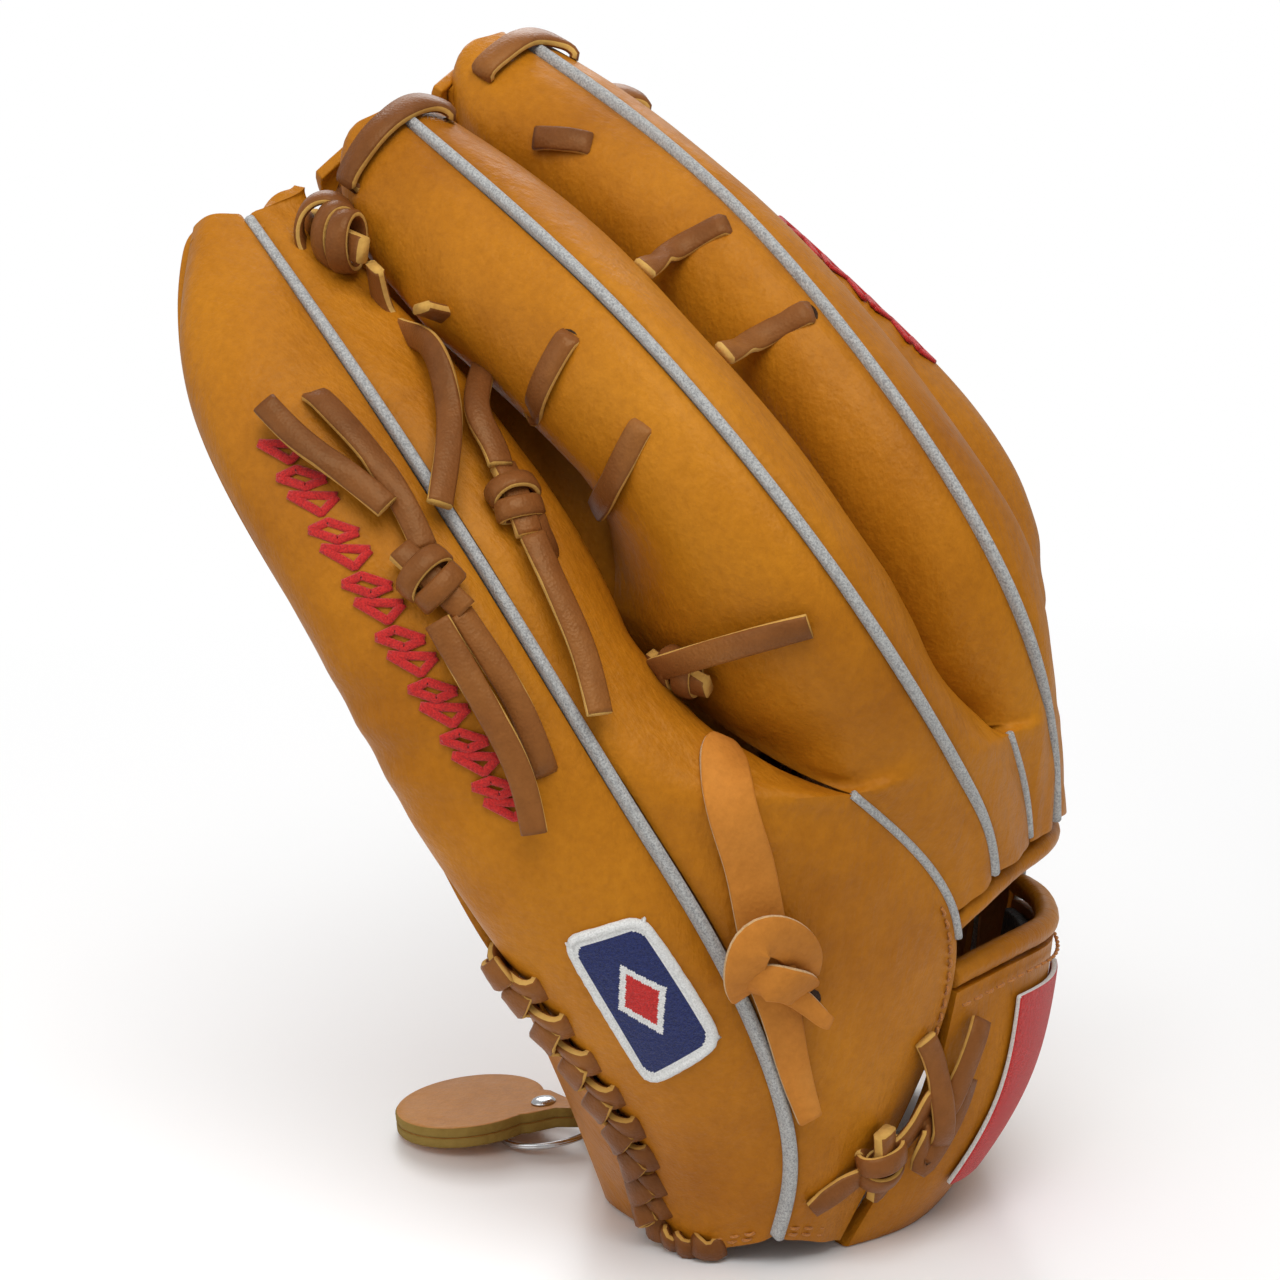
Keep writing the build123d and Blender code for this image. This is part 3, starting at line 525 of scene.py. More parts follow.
def lace_data(points, ups, width, thick, wave=0.0, seed=0, taper=0.0):
    """Flat lace with rounded corners swept along points; edge faces are marked 1."""
    along, across, up = strip_frames(points, ups)
    w, h = width / 2, thick / 2
    r = min(h * 0.75, 0.6)
    profile = [(-w, -h + r), (-w, h - r), (-w + r, h), (0, h * 1.12), (w - r, h), (w, h - r),
               (w, -h + r), (w - r, -h), (0, -h), (-w + r, -h)]
    edge_spans = {0, 5}
    rng = np.random.default_rng(seed)
    turn = np.interp(np.arange(len(points)), np.linspace(0, len(points) - 1, 5), rng.uniform(-wave, wave, 5))
    vertices, faces, marks = [], [], []
    n = len(profile)
    for i, point in enumerate(points):
        c, s = math.cos(turn[i]), math.sin(turn[i])
        side = across[i] * c + up[i] * s
        top = -across[i] * s + up[i] * c
        scale = 1.0 - taper * (i / (len(points) - 1))
        for x, y in profile:
            vertices.append(point + side * x * scale + top * y)
    for i in range(len(points) - 1):
        for k in range(n):
            a, b = i * n + k, i * n + (k + 1) % n
            faces.append((a, b, b + n, a + n))
            marks.append(1 if k in edge_spans else 0)
    faces.append(tuple(range(n))[::-1])
    faces.append(tuple((len(points) - 1) * n + k for k in range(n)))
    marks += [1, 1]
    return np.array(vertices), faces, marks


def join(parts):
    vertices, faces, marks, base = [], [], [], 0
    for v, f, m in parts:
        vertices.append(np.asarray(v, float))
        faces += [tuple(base + k for k in face) for face in f]
        marks += list(m)
        base += len(v)
    return np.concatenate(vertices), faces, marks


def pieces_from(name, parts, mats, nodes=(), ground=True, crisp=0.0):
    vertices, faces, marks = join(parts)
    vertices = above(vertices) if ground else vertices
    piece = add_mesh(name, metres(vertices), faces, mats, marks)
    if nodes:
        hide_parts(*nodes)
    return piece


def tube_data(points, radius, sides=12, mark=0, ends=True, lump=0.0, seed=0):
    points = np.asarray(points, float)
    along = unit(np.gradient(points, axis=0))
    guess = np.array([0.0, 0.0, 1.0]) if abs(along[0][2]) < 0.9 else np.array([1.0, 0.0, 0.0])
    ups = [unit(guess - along[0] * guess.dot(along[0]))]
    for direction in along[1:]:
        ups.append(unit(ups[-1] - direction * ups[-1].dot(direction)))
    rng = np.random.default_rng(seed)
    vertices, faces, marks = [], [], []
    for i, point in enumerate(points):
        side = np.cross(along[i], ups[i])
        size = radius * (1 + lump * rng.uniform(-1, 1))
        for k in range(sides):
            angle = 2 * math.pi * k / sides
            vertices.append(point + (side * math.cos(angle) + ups[i] * math.sin(angle)) * size)
    for i in range(len(points) - 1):
        for k in range(sides):
            a, b = i * sides + k, i * sides + (k + 1) % sides
            faces.append((a, b, b + sides, a + sides))
            marks.append(mark)
    if ends:
        faces.append(tuple(range(sides))[::-1])
        faces.append(tuple((len(points) - 1) * sides + k for k in range(sides)))
        marks += [mark, mark]
    return np.array(vertices), faces, marks


def stitches(points, ups, length=2.6, gap=1.5, radius=0.38, mark=0):
    """Short thread stitches lying in a row along a curve."""
    curve = resample(points, 0.4)
    ups = np.asarray(ups, float)
    if ups.ndim == 1:
        ups = np.tile(ups, (len(curve), 1))
    else:
        steps = np.linspace(0, len(ups) - 1, len(curve))
        ups = np.stack([np.interp(steps, range(len(ups)), ups[:, k]) for k in range(3)], axis=1)
    step = int((length + gap) / 0.4)
    size = int(length / 0.4)
    parts = []
    for start in range(2, len(curve) - size - 1, step):
        middle = curve[start:start + size + 1]
        dip = np.sin(np.linspace(0, math.pi, len(middle)))[:, None] * 0.55 - 0.25
        parts.append(tube_data(middle + ups[start:start + size + 1] * dip, radius, 6, mark))
    return parts


HAND = (0, -10, 60)


def on_panel(finger, side, t, u, lift):
    """A point lift above a back panel, or above the strap at row t and column u."""
    if finger == "strap":
        grid = strap_grid([t - 0.05, t, t + 0.05], [u - 0.05, u, u + 0.05])
        return grid[1, 1] - normals(grid, HAND)[1, 1] * lift
    grid = panel_grid(finger, side, [t - 0.03, t, t + 0.03], [u - 0.02, u, u + 0.02])
    return grid[1, 1] - normals(grid, INSIDE[finger])[1, 1] * lift


def up_at(finger, side, t, u):
    return on_panel(finger, side, t, u, 1.0) - on_panel(finger, side, t, u, 0.0)


def over(route, lift, spacing=1.2):
    """Points and upward directions along a route of panel places (finger, side, t, u[, extra lift])."""
    points = [on_panel(*stop[:4], lift + (stop[4] if len(stop) > 4 else 0)) for stop in route]
    ups = [up_at(*stop[:4]) for stop in route]
    curve = resample(points, spacing)
    steps = np.linspace(0, len(ups) - 1, len(curve))
    ups = np.stack([np.interp(steps, range(len(ups)), np.array(ups)[:, k]) for k in range(3)], axis=1)
    return curve, ups


def flat_lace(route, width=6.2, thick=2.6, lift=1.4, wave=0.12, seed=0, spacing=1.2):
    curve, ups = over(route, lift, spacing)
    return lace_data(curve, ups, width, thick, wave, seed)


def hole_data(finger, side, t, u, radius=3.0):
    """Flat disc lifted just over the panel, coloured dark as painted shade standing for the depth of an eyelet hole."""
    centre, up = on_panel(finger, side, t, u, 0.15), up_at(finger, side, t, u)
    ahead = unit(on_panel(finger, side, t + 0.05, u, 0) - on_panel(finger, side, t, u, 0))
    across = np.cross(up, ahead)
    ring = [centre + (ahead * math.cos(a) + across * math.sin(a)) * radius
            for a in np.linspace(0, 2 * math.pi, 17)[:-1]]
    disc = np.array(ring + [centre])
    faces = [(k, (k + 1) % 16, 16) for k in range(16)]
    return disc, faces, [0] * 16


# ---- back panels ----
FINE_T = 120
FINE_U = 30


def fine_rows(start):
    near_tip = 6 - 0.4 * (1 - np.cos(np.linspace(0, math.pi / 2, 14)))[::-1]
    return np.concatenate([np.linspace(start, 5.6, FINE_T)[:-1], near_tip])


def puckers(grid, finger, side, t, u):
    """Soft creases and swelling of padded leather, worked into the panel's surface."""
    out = -normals(grid, INSIDE[finger])
    tt, uu = np.asarray(t)[:, None], np.asarray(u)[None, :]
    swell = np.sin(math.pi * np.clip(uu, 0, 1)) * 0.8
    key = list(RIDGE).index(finger) * 2.1 + side
    wave = np.sin(tt * 5.3 + uu * 4.0 + key) * np.sin(tt * 2.2 + uu * 7.0 + 1.7 * key) * 0.55
    fold = np.exp(-((tt - 3.3) / 0.35) ** 2) * np.sin(tt * 22 + uu * 5 + key) * 0.8
    fold = fold * np.clip(uu * 1.6 - 0.3, 0, 1)
    rim = np.clip(uu / 0.08, 0, 1) * np.clip((1 - uu) / 0.25, 0, 1)
    roll = -1.3 * np.exp(-(uu / 0.05) ** 2)
    return grid + out * ((swell + wave + fold) * rim + roll)[..., None]


panels = {}
for finger in RIDGE:
    body = "thumb_half" if finger == "thumb" else "finger_half"
    for name, side in (("outer", outer_side(finger)), ("inner", -outer_side(finger))):
        t, u = fine_rows(START[finger] + 0.01), np.linspace(0.028, 0.985, FINE_U)
        grid = puckers(panel_grid(finger, side, t, u), finger, side, t, u)
        node = f"{finger}_{name}_panel"
        piece = panel(f"{finger}_{name}_leather", grid, 2.6, INSIDE[finger], node, [TAN, LINING_MAT, TAN])
        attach(piece, body)
        panels[node] = piece

for finger in RIDGE:
    body = "thumb_half" if finger == "thumb" else "finger_half"
    t = np.linspace(START[finger] + 0.03, 5.97, 160)
    ridge = spline(RIDGE[finger], t)
    out = finger_axes(finger, t)[2]
    data = lace_data(ridge - out * 0.5, np.cross(unit(np.gradient(ridge, axis=0)), out), 3.8, 2.4)
    piece = pieces_from(f"{finger}_felt_welt", [data], [WELT, WELT], [f"{finger}_welt"])
    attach(piece, body)

parts = []
for finger, start in (("pinky", 1.9), ("ring", 2.1), ("middle", 2.1)):
    parts.append(tube_data(resample(spline(SEAM[finger], np.linspace(start, 3.0, 8)), 1.5), 1.1))
piece = pieces_from("seam_welts", parts, [WELT], ["back_seam_welts"])
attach(piece, "finger_half")
seam = resample(spline(SEAM["index"], np.linspace(0.4, 3.0, 8)), 1.5)
piece = pieces_from("thumb_welt_cord", [tube_data(seam, 1.1)], [WELT], ["thumb_seam_welt"])
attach(piece, "finger_half")

# ---- palm ----
t = np.linspace(0.01, 3.62, 60)
grid = palm_grid(PALM_COLUMNS, t, np.linspace(0.14, 8, 60))
piece = panel("palm_leather", grid, 3.0, BALL_SIDE, None, [TAN, TAN, TAN], lift=-0.6)
cuts = [piece]
for finger in FINGERS:
    first = "edge" if finger == "pinky" else "gap before"
    last = 0.9 if finger == "index" else "gap after"
    columns = [(finger, place) for place in (first, -0.3, 0.3, last)]
    t = fine_rows(3.58)
    known = front_grid(columns, t, 0)
    strip = np.stack([spline(row, np.linspace(0.14 if finger == "pinky" else 0, 3, 14)) for row in known])
    cuts.append(panel(f"palm_strip_{finger}", strip, 3.0, BALL_SIDE, None, [TAN, TAN, TAN], lift=-0.6))
for piece in cuts:
    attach(piece, "finger_half")
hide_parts("palm_leather_finger_side")

t = fine_rows(0.01)
grid = palm_grid(THUMB_COLUMNS, t, np.linspace(0, 1.98, 24))
piece = panel("thumb_palm_leather", grid, 3.0, BALL_SIDE, "palm_leather_thumb_side", [TAN, TAN, TAN], lift=-0.6)
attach(piece, "thumb_half")

for finger in RIDGE:
    tip = np.array([5.93, 5.94])
    places = np.linspace(0.03, 0.96, 9)
    back_rim = np.concatenate([panel_grid(finger, -1, tip, places[::-1])[0], panel_grid(finger, 1, tip, places)[0]])
    if finger == "thumb":
        columns = [(finger, place) for place in (-0.9, -0.3, 0.3, 0.9)]
    else:
        first = "edge" if finger == "pinky" else "gap before"
        columns = [(finger, place) for place in (first, -0.3, 0.3, 0.9 if finger == "index" else "gap after")]
    front_rim = spline(front_grid(columns, tip, 0)[0], np.linspace(0.1, 2.9, 18))
    shares = np.linspace(0, 1, 6)[:, None, None]
    grid = back_rim * (1 - shares) + front_rim * shares
    piece = panel(f"{finger}_tip_leather", grid, 1.4, tuple(spline(RIDGE[finger], [4.5])[0]), None, [TAN, TAN, TAN],
                  bevel=0)
    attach(piece, "thumb_half" if finger == "thumb" else "finger_half")
rolled_edge = resample(spline(EDGE["thumb"], np.linspace(0.1, 5.7, 60)), 2.0)
piece = pieces_from("thumb_rolled_edge", [tube_data(rolled_edge, 2.3, 14, lump=0.02, seed=8)], [TAN])
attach(piece, "thumb_half")

t = np.linspace(0.12, 3.02, 24)
sides = front_grid([("index", 0.9), ("thumb", -0.9)], t, 0)
near, far = sides[:, 0], sides[:, 1]
known = np.stack([near, (near + far) / 2 + (0, -3, 0), far], axis=1)
grid = np.stack([spline(row, np.linspace(0, 2, 10)) for row in known])
piece = panel("crease_leather", grid, 2.6, BALL_SIDE, "palm_crease_leather", [TAN, TAN, TAN])
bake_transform(piece)

# ---- padding and linings ----
heel = np.linspace(0.3, 2.1, 16)
piece = panel("pinky_heel_felt", palm_grid(PALM_COLUMNS, heel, np.linspace(1.4, 4.8, 20)), 6.4, HAND,
              "heel_pad_pinky_side", [FELT, FELT, FELT], lift=-1.5, bevel=2.5)
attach(piece, "finger_half")
known = front_grid([("thumb", -0.2), ("thumb", 0), ("thumb", 0.25)], heel[3:], 0)
piece = panel("thumb_heel_felt", known, 2.6, HAND, "heel_pad_thumb_side", [FELT, FELT, FELT], lift=-2.5, bevel=1.0)
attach(piece, "thumb_half")
hand = np.linspace(0.15, 3.0, 24)
piece = panel("hand_lining", palm_grid(PALM_COLUMNS, hand, np.linspace(1.2, 7.4, 30)), 1.6, HAND,
              "palm_lining", [LINING_MAT] * 3, lift=-10.2, bevel=0)
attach(piece, "finger_half")
piece = panel("thumb_hand_lining", palm_grid(THUMB_COLUMNS, hand, np.linspace(0.25, 1.1, 12)), 1.6, HAND,
              "thumb_lining", [LINING_MAT] * 3, lift=-10.2, bevel=0)
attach(piece, "thumb_half")
stall = np.linspace(4.1, 5.5, 20)
for finger, body in (("pinky", "finger_half"), ("thumb", "thumb_half")):
    known = front_grid([(finger, -0.35), (finger, 0), (finger, 0.35)], stall, 0)
    piece = panel(f"{finger}_stall_felt", known, 4.0, tuple(spline(RIDGE[finger], [4.5])[0]),
                  f"{finger}_finger_pad", [FELT] * 3, lift=-3.0, bevel=1.5)
    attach(piece, body)
back = np.linspace(2.15, 3.0, 10)
columns = [spline(points, back) for points in (
    RIDGE["ring"], SEAM["ring"], RIDGE["middle"], SEAM["middle"], RIDGE["index"])]
known = np.stack(columns, axis=1)
grid = np.stack([spline(row, np.linspace(0, 4, 20)) for row in known])
piece = panel("back_fleece", grid, 1.6, INSIDE["middle"], "back_lining", [FLEECE_MAT] * 3, lift=-8.0, bevel=0)
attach(piece, "finger_half")

# ---- strap ----
BEHIND = (0, -400, 40)
every = strap_grid(np.linspace(0, 3, 40), np.linspace(0, 4, 50))
piece = panel("strap_leather", every, 4.0, HAND, "wrist_strap", [TAN, LINING_MAT, TAN], bevel=1.4)
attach(piece, "finger_half")
inner = strap_grid(np.linspace(0.9, 2.95, 20), np.linspace(0.3, 3.7, 30))
piece = panel("strap_lining", inner, 3.0, HAND, "strap_fleece", [FLEECE_MAT] * 3, lift=-4.6)
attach(piece, "finger_half")
patch = strap_grid(np.linspace(1.0, 2.75, 20), np.linspace(0.9, 2.5, 24))
piece = panel("strap_badge", patch, 1.6, BEHIND, "strap_patch", [RED, RED, WHITE], lift=-0.6, bevel=0.5)
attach(piece, "finger_half")
roll = resample([np.add(point, (0, 2.0, 4.0)) for point in STRAP_ROWS[-1]], 2)
piece = pieces_from("strap_roll", [tube_data(roll, 3.1, 20, lump=0.02)], [TAN], ["strap_top_binding"])
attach(piece, "finger_half")
edge = [(-36, -56, 86), (-31, -61, 92), (-15, -63, 96), (-2, -64.5, 98), (15, -59, 97), (31, -49, 94), (55, -35, 86.5)]
piece = pieces_from("opening_roll", [tube_data(resample(edge, 2), 2.8, 20, lump=0.02)], [TAN], ["opening_binding"])
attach(piece, "finger_half")
sewn = stitches([np.add(point, (0, -1.2, -3.2)) for point in STRAP_ROWS[-1]], (0, -0.97, 0.24))
sewn += stitches([np.add(point, (0, -0.9, 4.6)) for point in edge], (0, -0.97, 0.24))
for side, start, end in ((-1, 0.62, 0.06), (1, 0.06, 0.62)):
    for t in (0.07, 0.13):
        hem = [on_panel("pinky", side, t, u, 0.5) for u in np.linspace(start, end, 9)]
        sewn += stitches(hem, up_at("pinky", side, t, 0.3))
sewn += stitches([on_panel("pinky", 1, t, 0.93, 0.5) for t in np.linspace(1.15, 2.2, 10)], up_at("pinky", 1, 1.7, 0.93))
piece = pieces_from("rim_stitches", sewn, [THREAD])
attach(piece, "finger_half")

# ---- web ----
WEB_INSIDE = (60, 300, 180)
full = np.linspace(3.55, 5.75, 40)
piece = panel("web_index_post", web_grid(full, np.linspace(0.08, 0.34, 8)), 3.4, WEB_INSIDE, "web_post_index",
              [TAN, LINING_MAT, TAN])
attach(piece, "finger_half")
piece = panel("web_thumb_post", web_grid(full, np.linspace(0.66, 0.92, 8)), 3.4, WEB_INSIDE, "web_post_thumb",
              [TAN, LINING_MAT, TAN])
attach(piece, "thumb_half")
for name, first, last, node in (("web_top_bar", 5.1, 5.6, "web_crossbar"), ("web_low_bar", 3.65, 4.05, "web_base_bar")):
    grid = web_grid(np.linspace(first, last, 10), np.linspace(0.08, 0.92, 24))
    piece = panel(name, grid, 3.4, WEB_INSIDE, node, [TAN, LINING_MAT, TAN], lift=4.9)
    near, far = grid[:, 0].mean(0), grid[:, -1].mean(0)
    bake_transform(piece)
parts = []
for station in np.linspace(4.2, 5.0, 5):
    for slope in (0.06, -0.06):
        row = [web_grid(np.array([station + slope * k]), [0.34 + 0.08 * (k + 2)])[0, 0] for k in np.linspace(-2, 2, 5)]
        out = np.tile(unit(finger_axes("index", np.array([station]))[2])[0], (5, 1))
        curve = resample(row, 1.5)
        ups = np.tile(out[0], (len(curve), 1))
        parts.append(lace_data(curve + out[0] * (1.5 if slope > 0 else -0.8), ups, 5.0, 2.0, 0.1, 3))
piece = pieces_from("web_laces", parts, [LACE, RAW], ["web_lacing"])
grid = web_grid(full, [0.3, 0.7])
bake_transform(piece)


# ---- laces on the back ----
def arched(finger_a, side_a, a, finger_b, side_b, b, lift=2.6):
    """Lace over a seam: dives into a hole at each end and stands proud between."""
    return [(finger_a, side_a, *a, -3.2), (finger_a, side_a, *a), (finger_b, side_b, *b), (finger_b, side_b, *b, -3.2)]


parts = []
for finger, outer, inner in (("ring", [(5.86, 0.56), (5.90, 0.34), (5.93, 0.12)], [(5.95, 0.14), (5.90, 0.30)]),
                             ("middle", [(5.86, 0.44), (5.88, 0.26), (5.90, 0.08)], [(5.90, 0.12), (5.84, 0.24)]),
                             ("index", [(5.86, 0.44), (5.88, 0.26), (5.90, 0.08)], [(5.90, 0.12), (5.84, 0.24)])):
    route = [(finger, -1, *outer[0], -3.0)] + [(finger, -1, *stop, 0.6) for stop in outer]
    route += [(finger, 1, *stop, 0.6) for stop in inner] + [(finger, 1, *inner[-1], -3.0)]
    parts.append(flat_lace(route, 7.2, 2.4, 1.8, 0.08, 4))
piece = pieces_from("tip_laces", parts, [LACE, RAW], ["fingertip_lacing"])
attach(piece, "finger_half")

GAP_ROUTES = [
    [("ring", -1, 5.02, 0.26), ("ring", -1, 4.96, 0.52), ("ring", -1, 4.93, 0.86)],
    [("ring", -1, 4.68, 0.29), ("ring", -1, 4.60, 0.57), ("ring", -1, 4.54, 0.88)],
    [("middle", -1, 5.44, 0.36), ("middle", -1, 5.50, 0.44), ("middle", -1, 5.56, 0.52)],
    [("middle", -1, 5.00, 0.19), ("middle", -1, 5.01, 0.45), ("ring", 1, 5.10, 0.50)],
    [("middle", -1, 4.69, 0.16), ("middle", -1, 4.69, 0.43), ("ring", 1, 4.74, 0.54)],
    [("index", -1, 5.30, 0.20), ("index", -1, 5.31, 0.35), ("index", -1, 5.32, 0.50)],
    [("index", -1, 4.80, 0.20), ("index", -1, 4.81, 0.35), ("index", -1, 4.82, 0.50)],
]
parts, holes = [], []
for k, route in enumerate(GAP_ROUTES):
    full_route = [(*route[0], -3.0), (*route[0], -0.4)] + [(*stop, 0.9) for stop in route[1:-1]]
    full_route += [(*route[-1], 0.2)]
    parts.append(flat_lace(full_route, 6.0, 2.2, 1.6, 0.1, k))
    holes.append(hole_data(*route[0], 3.4))
for spot in ((("pinky", -1, 4.92, 0.22)), ("pinky", 1, 4.10, 0.40), ("pinky", 1, 1.74, 0.22), ("ring", -1, 3.66, 0.93)):
    holes.append(hole_data(*spot, 3.2))
piece = pieces_from("gap_laces", parts, [LACE, RAW], ["finger_gap_lacing"])
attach(piece, "finger_half")
# the dark discs are painted shade standing in for the depth of each eyelet hole
piece = pieces_from("lace_holes", holes, [HOLE_SHADE])
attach(piece, "finger_half")


def knot_parts(finger, side, t, u, radius=5.0, width=5.6, turns=2, angle=0.0, seed=0, high=5.0):
    """Overhand knot: wraps of flat lace round a core that lies along the finger."""
    centre = on_panel(finger, side, t, u, high)
    up = up_at(finger, side, t, u)
    ahead = unit(on_panel(finger, side, t + 0.08, u, 0) - on_panel(finger, side, t - 0.08, u, 0))
    across = np.cross(up, ahead)
    ahead, across = (ahead * math.cos(angle) + across * math.sin(angle),
                     across * math.cos(angle) - ahead * math.sin(angle))
    rng = np.random.default_rng(seed)
    parts = []
    core = [centre - ahead * radius * 1.7, centre - ahead * radius * 0.6 + up * 0.8,
            centre + ahead * radius * 0.6 + up * 0.8, centre + ahead * radius * 1.7]
    curve = resample(core, 1.0)
    parts.append(lace_data(curve, np.tile(up, (len(curve), 1)), width, 3.4, 0.3, seed))
    for k in range(turns):
        lean = (k - (turns - 1) / 2) * 0.9 + rng.uniform(-0.2, 0.2)
        shift = (k - (turns - 1) / 2) * width * 0.75
        wrap = []
        for a in np.linspace(-0.5, 2 * math.pi - 0.7, 14):
            r = radius * (0.86 + 0.1 * k)
            wrap.append(centre + ahead * (shift + lean * r * 0.45 * math.sin(a)) + across * r * 1.05 * math.cos(a)
                        + up * (r * 0.72 * math.sin(a)))
        curve = resample(wrap, 0.9)
        middle = centre + ahead * shift
        parts.append(lace_data(curve, unit(curve - middle), width * 0.85, 2.1, 0.15, seed + k))
    return parts


KNOTS = {
    "fingertip_knot": ("ring", -1, 5.74, 0.70, 7.4, 6.4, 3, 0.6, 3, 7.0),
    "panel_knot": ("pinky", -1, 4.08, 0.20, 6.0, 6.2, 2, 0.3, 5, 4.4),
    "gap_knot": ("pinky", 1, 4.36, 0.20, 5.4, 6.0, 2, -0.2, 7, 4.2),
    "crotch_knot": ("ring", -1, 3.74, 0.78, 5.0, 5.6, 2, 0.9, 9, 4.2),
    "strap_knot": ("pinky", 1, 0.66, 0.66, 6.0, 6.0, 2, 0.4, 11, 4.6),
}
for name, placing in KNOTS.items():
    piece = pieces_from(f"{name}_wraps", knot_parts(*placing), [LACE, RAW], [name])
    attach(piece, "finger_half")

SHORT_ENDS = [
    [("pinky", -1, 4.93, 0.24, -3), ("pinky", -1, 4.91, 0.24, 1), ("pinky", -1, 4.76, 0.20, 2.5), ("pinky", -1, 4.60, 0.17, 3),
     ("pinky", -1, 4.40, 0.16, 3), ("pinky", -1, 4.22, 0.17, 2.5)],
    [("pinky", -1, 3.94, 0.17, 3), ("pinky", -1, 3.68, 0.15, 2.6), ("pinky", -1, 3.47, 0.15, 2), ("pinky", -1, 3.26, 0.17, 0.5),
     ("pinky", -1, 3.20, 0.18, -3)],
    [("ring", -1, 3.72, 0.86, 4), ("ring", -1, 3.82, 0.76, 6), ("ring", -1, 3.92, 0.46, 3.5), ("ring", -1, 3.90, 0.22, 2)],
    [("pinky", 1, 4.10, 0.24, -3), ("pinky", 1, 4.14, 0.23, 1), ("pinky", 1, 4.25, 0.22, 3), ("pinky", 1, 4.34, 0.21, 4)],
]
piece = pieces_from("short_lace_ends", [flat_lace(route, 6.0, 2.2, 1.6, 0.3, 40 + k) for k, route in enumerate(SHORT_ENDS)],
                    [LACE, RAW])
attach(piece, "finger_half")

# ---- heel lacing, strap lacing ----
parts = []
HEEL_HOLES = np.linspace(0.22, 1.90, 9)
for k, (t, above_it) in enumerate(zip(HEEL_HOLES, np.append(HEEL_HOLES[1:], 2.02))):
    route = [("pinky", -1, t, 0.70, -2.6), ("pinky", -1, t, 0.73, 0.6), ("pinky", -1, t + 0.02, 0.84, 1.0),
             ("pinky", -1, t + 0.05, 0.94, 0.6), ("pinky", -1, t + 0.06, 0.99, -1.0)]
    parts.append(flat_lace(route, 7.8, 2.6, 1.5, 0.16, k))
    route = [("pinky", -1, t + 0.01, 0.95, 1.0), ("pinky", -1, (2 * t + above_it) / 3, 0.92, 3.4),
             ("pinky", -1, (t + 2 * above_it) / 3, 0.84, 3.6), ("pinky", -1, above_it, 0.78, 1.2)]
    parts.append(flat_lace(route, 7.4, 2.4, 1.5, 0.25, 60 + k))
for k, (u, t) in enumerate(((0.64, 0.17), (0.52, 0.12), (0.40, 0.10))):
    route = [("pinky", -1, t + 0.03, u + 0.05, 0.4), ("pinky", -1, t, u, 1.6), ("pinky", -1, t - 0.05, u - 0.06, 1.2),
             ("pinky", -1, t - 0.08, u - 0.12, -1.6)]
    parts.append(flat_lace(route, 6.2, 2.2, 1.4, 0.2, 80 + k))
piece = pieces_from("heel_laces", parts, [LACE, RAW], ["heel_lacing"])
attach(piece, "finger_half")
parts = []
routes = [
    [("strap", 1, 2.7, 0.34, 0.5), ("strap", 1, 2.45, 0.20, 3), ("strap", 1, 2.0, 0.06, 4.5), ("pinky", 1, 1.07, 0.92, 5),
     ("pinky", 1, 0.84, 0.84, 4), ("pinky", 1, 0.70, 0.70, 2.5)],
    [("strap", 1, 2.2, 0.36, 0.3), ("strap", 1, 1.85, 0.26, 3), ("strap", 1, 1.45, 0.12, 5), ("pinky", 1, 0.88, 0.95, 5.5),
     ("pinky", 1, 0.74, 0.80, 3)],
    [("pinky", 1, 1.36, 0.80, 0.2), ("pinky", 1, 1.20, 0.88, 3.5), ("strap", 1, 1.9, 0.08, 6.5), ("strap", 1, 1.6, 0.24, 2)],
    [("pinky", 1, 0.64, 0.62, 3), ("pinky", 1, 0.56, 0.50, 1.6), ("pinky", 1, 0.46, 0.34, 1.0), ("pinky", 1, 0.34, 0.20, 0.4)],
]
for k, route in enumerate(routes):
    parts.append(flat_lace(route, 5.8, 2.2, 1.6, 0.35, 20 + k))
piece = pieces_from("strap_laces", parts, [LACE, RAW], ["strap_lacing"])
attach(piece, "finger_half")


# ---- badge, embroidery and suede tie ----
def corner_grid(finger, side, corners, rows, cols, lift=0.0):
    (a, b), (d, c) = corners[:2], corners[:1:-1]
    out = []
    for share in np.linspace(0, 1, rows):
        start = np.add(a, np.subtract(d, a) * share)
        end = np.add(b, np.subtract(c, b) * share)
        out.append([on_panel(finger, side, *(np.add(start, np.subtract(end, start) * k)), lift)
                    for k in np.linspace(0, 1, cols)])
    return np.array(out)


AWAY = (-400, -300, 120)
BADGE = [(2.26, 0.42), (2.37, 0.155), (1.63, 0.13), (1.42, 0.46)]
rows, cols = ((84, 56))
grid = corner_grid("pinky", -1, BADGE, rows, cols)
x, y = np.meshgrid(np.linspace(-1, 1, cols), np.linspace(-1, 1, rows))
centre = grid.mean(axis=(0, 1))
grid = centre + (grid - centre) * (1 - 0.085 * (np.abs(x) ** 6) * (np.abs(y) ** 8))[..., None]
points, faces, marks = sheet_data(grid, 1.5, AWAY, -0.7)


def badge_color(v, w):
    """White-bordered navy badge with a plain red diamond outlined in white."""
    x, y = (w - 0.5) * 2, (v - 0.5) * 2
    if abs(x / 0.86) ** 7 + abs(y / 0.91) ** 11 > 1:
        return 1
    size = abs(x) / 0.62 + abs(y) / 0.52
    if size < 0.72:
        return 2
    return 1 if size < 1.0 else 0


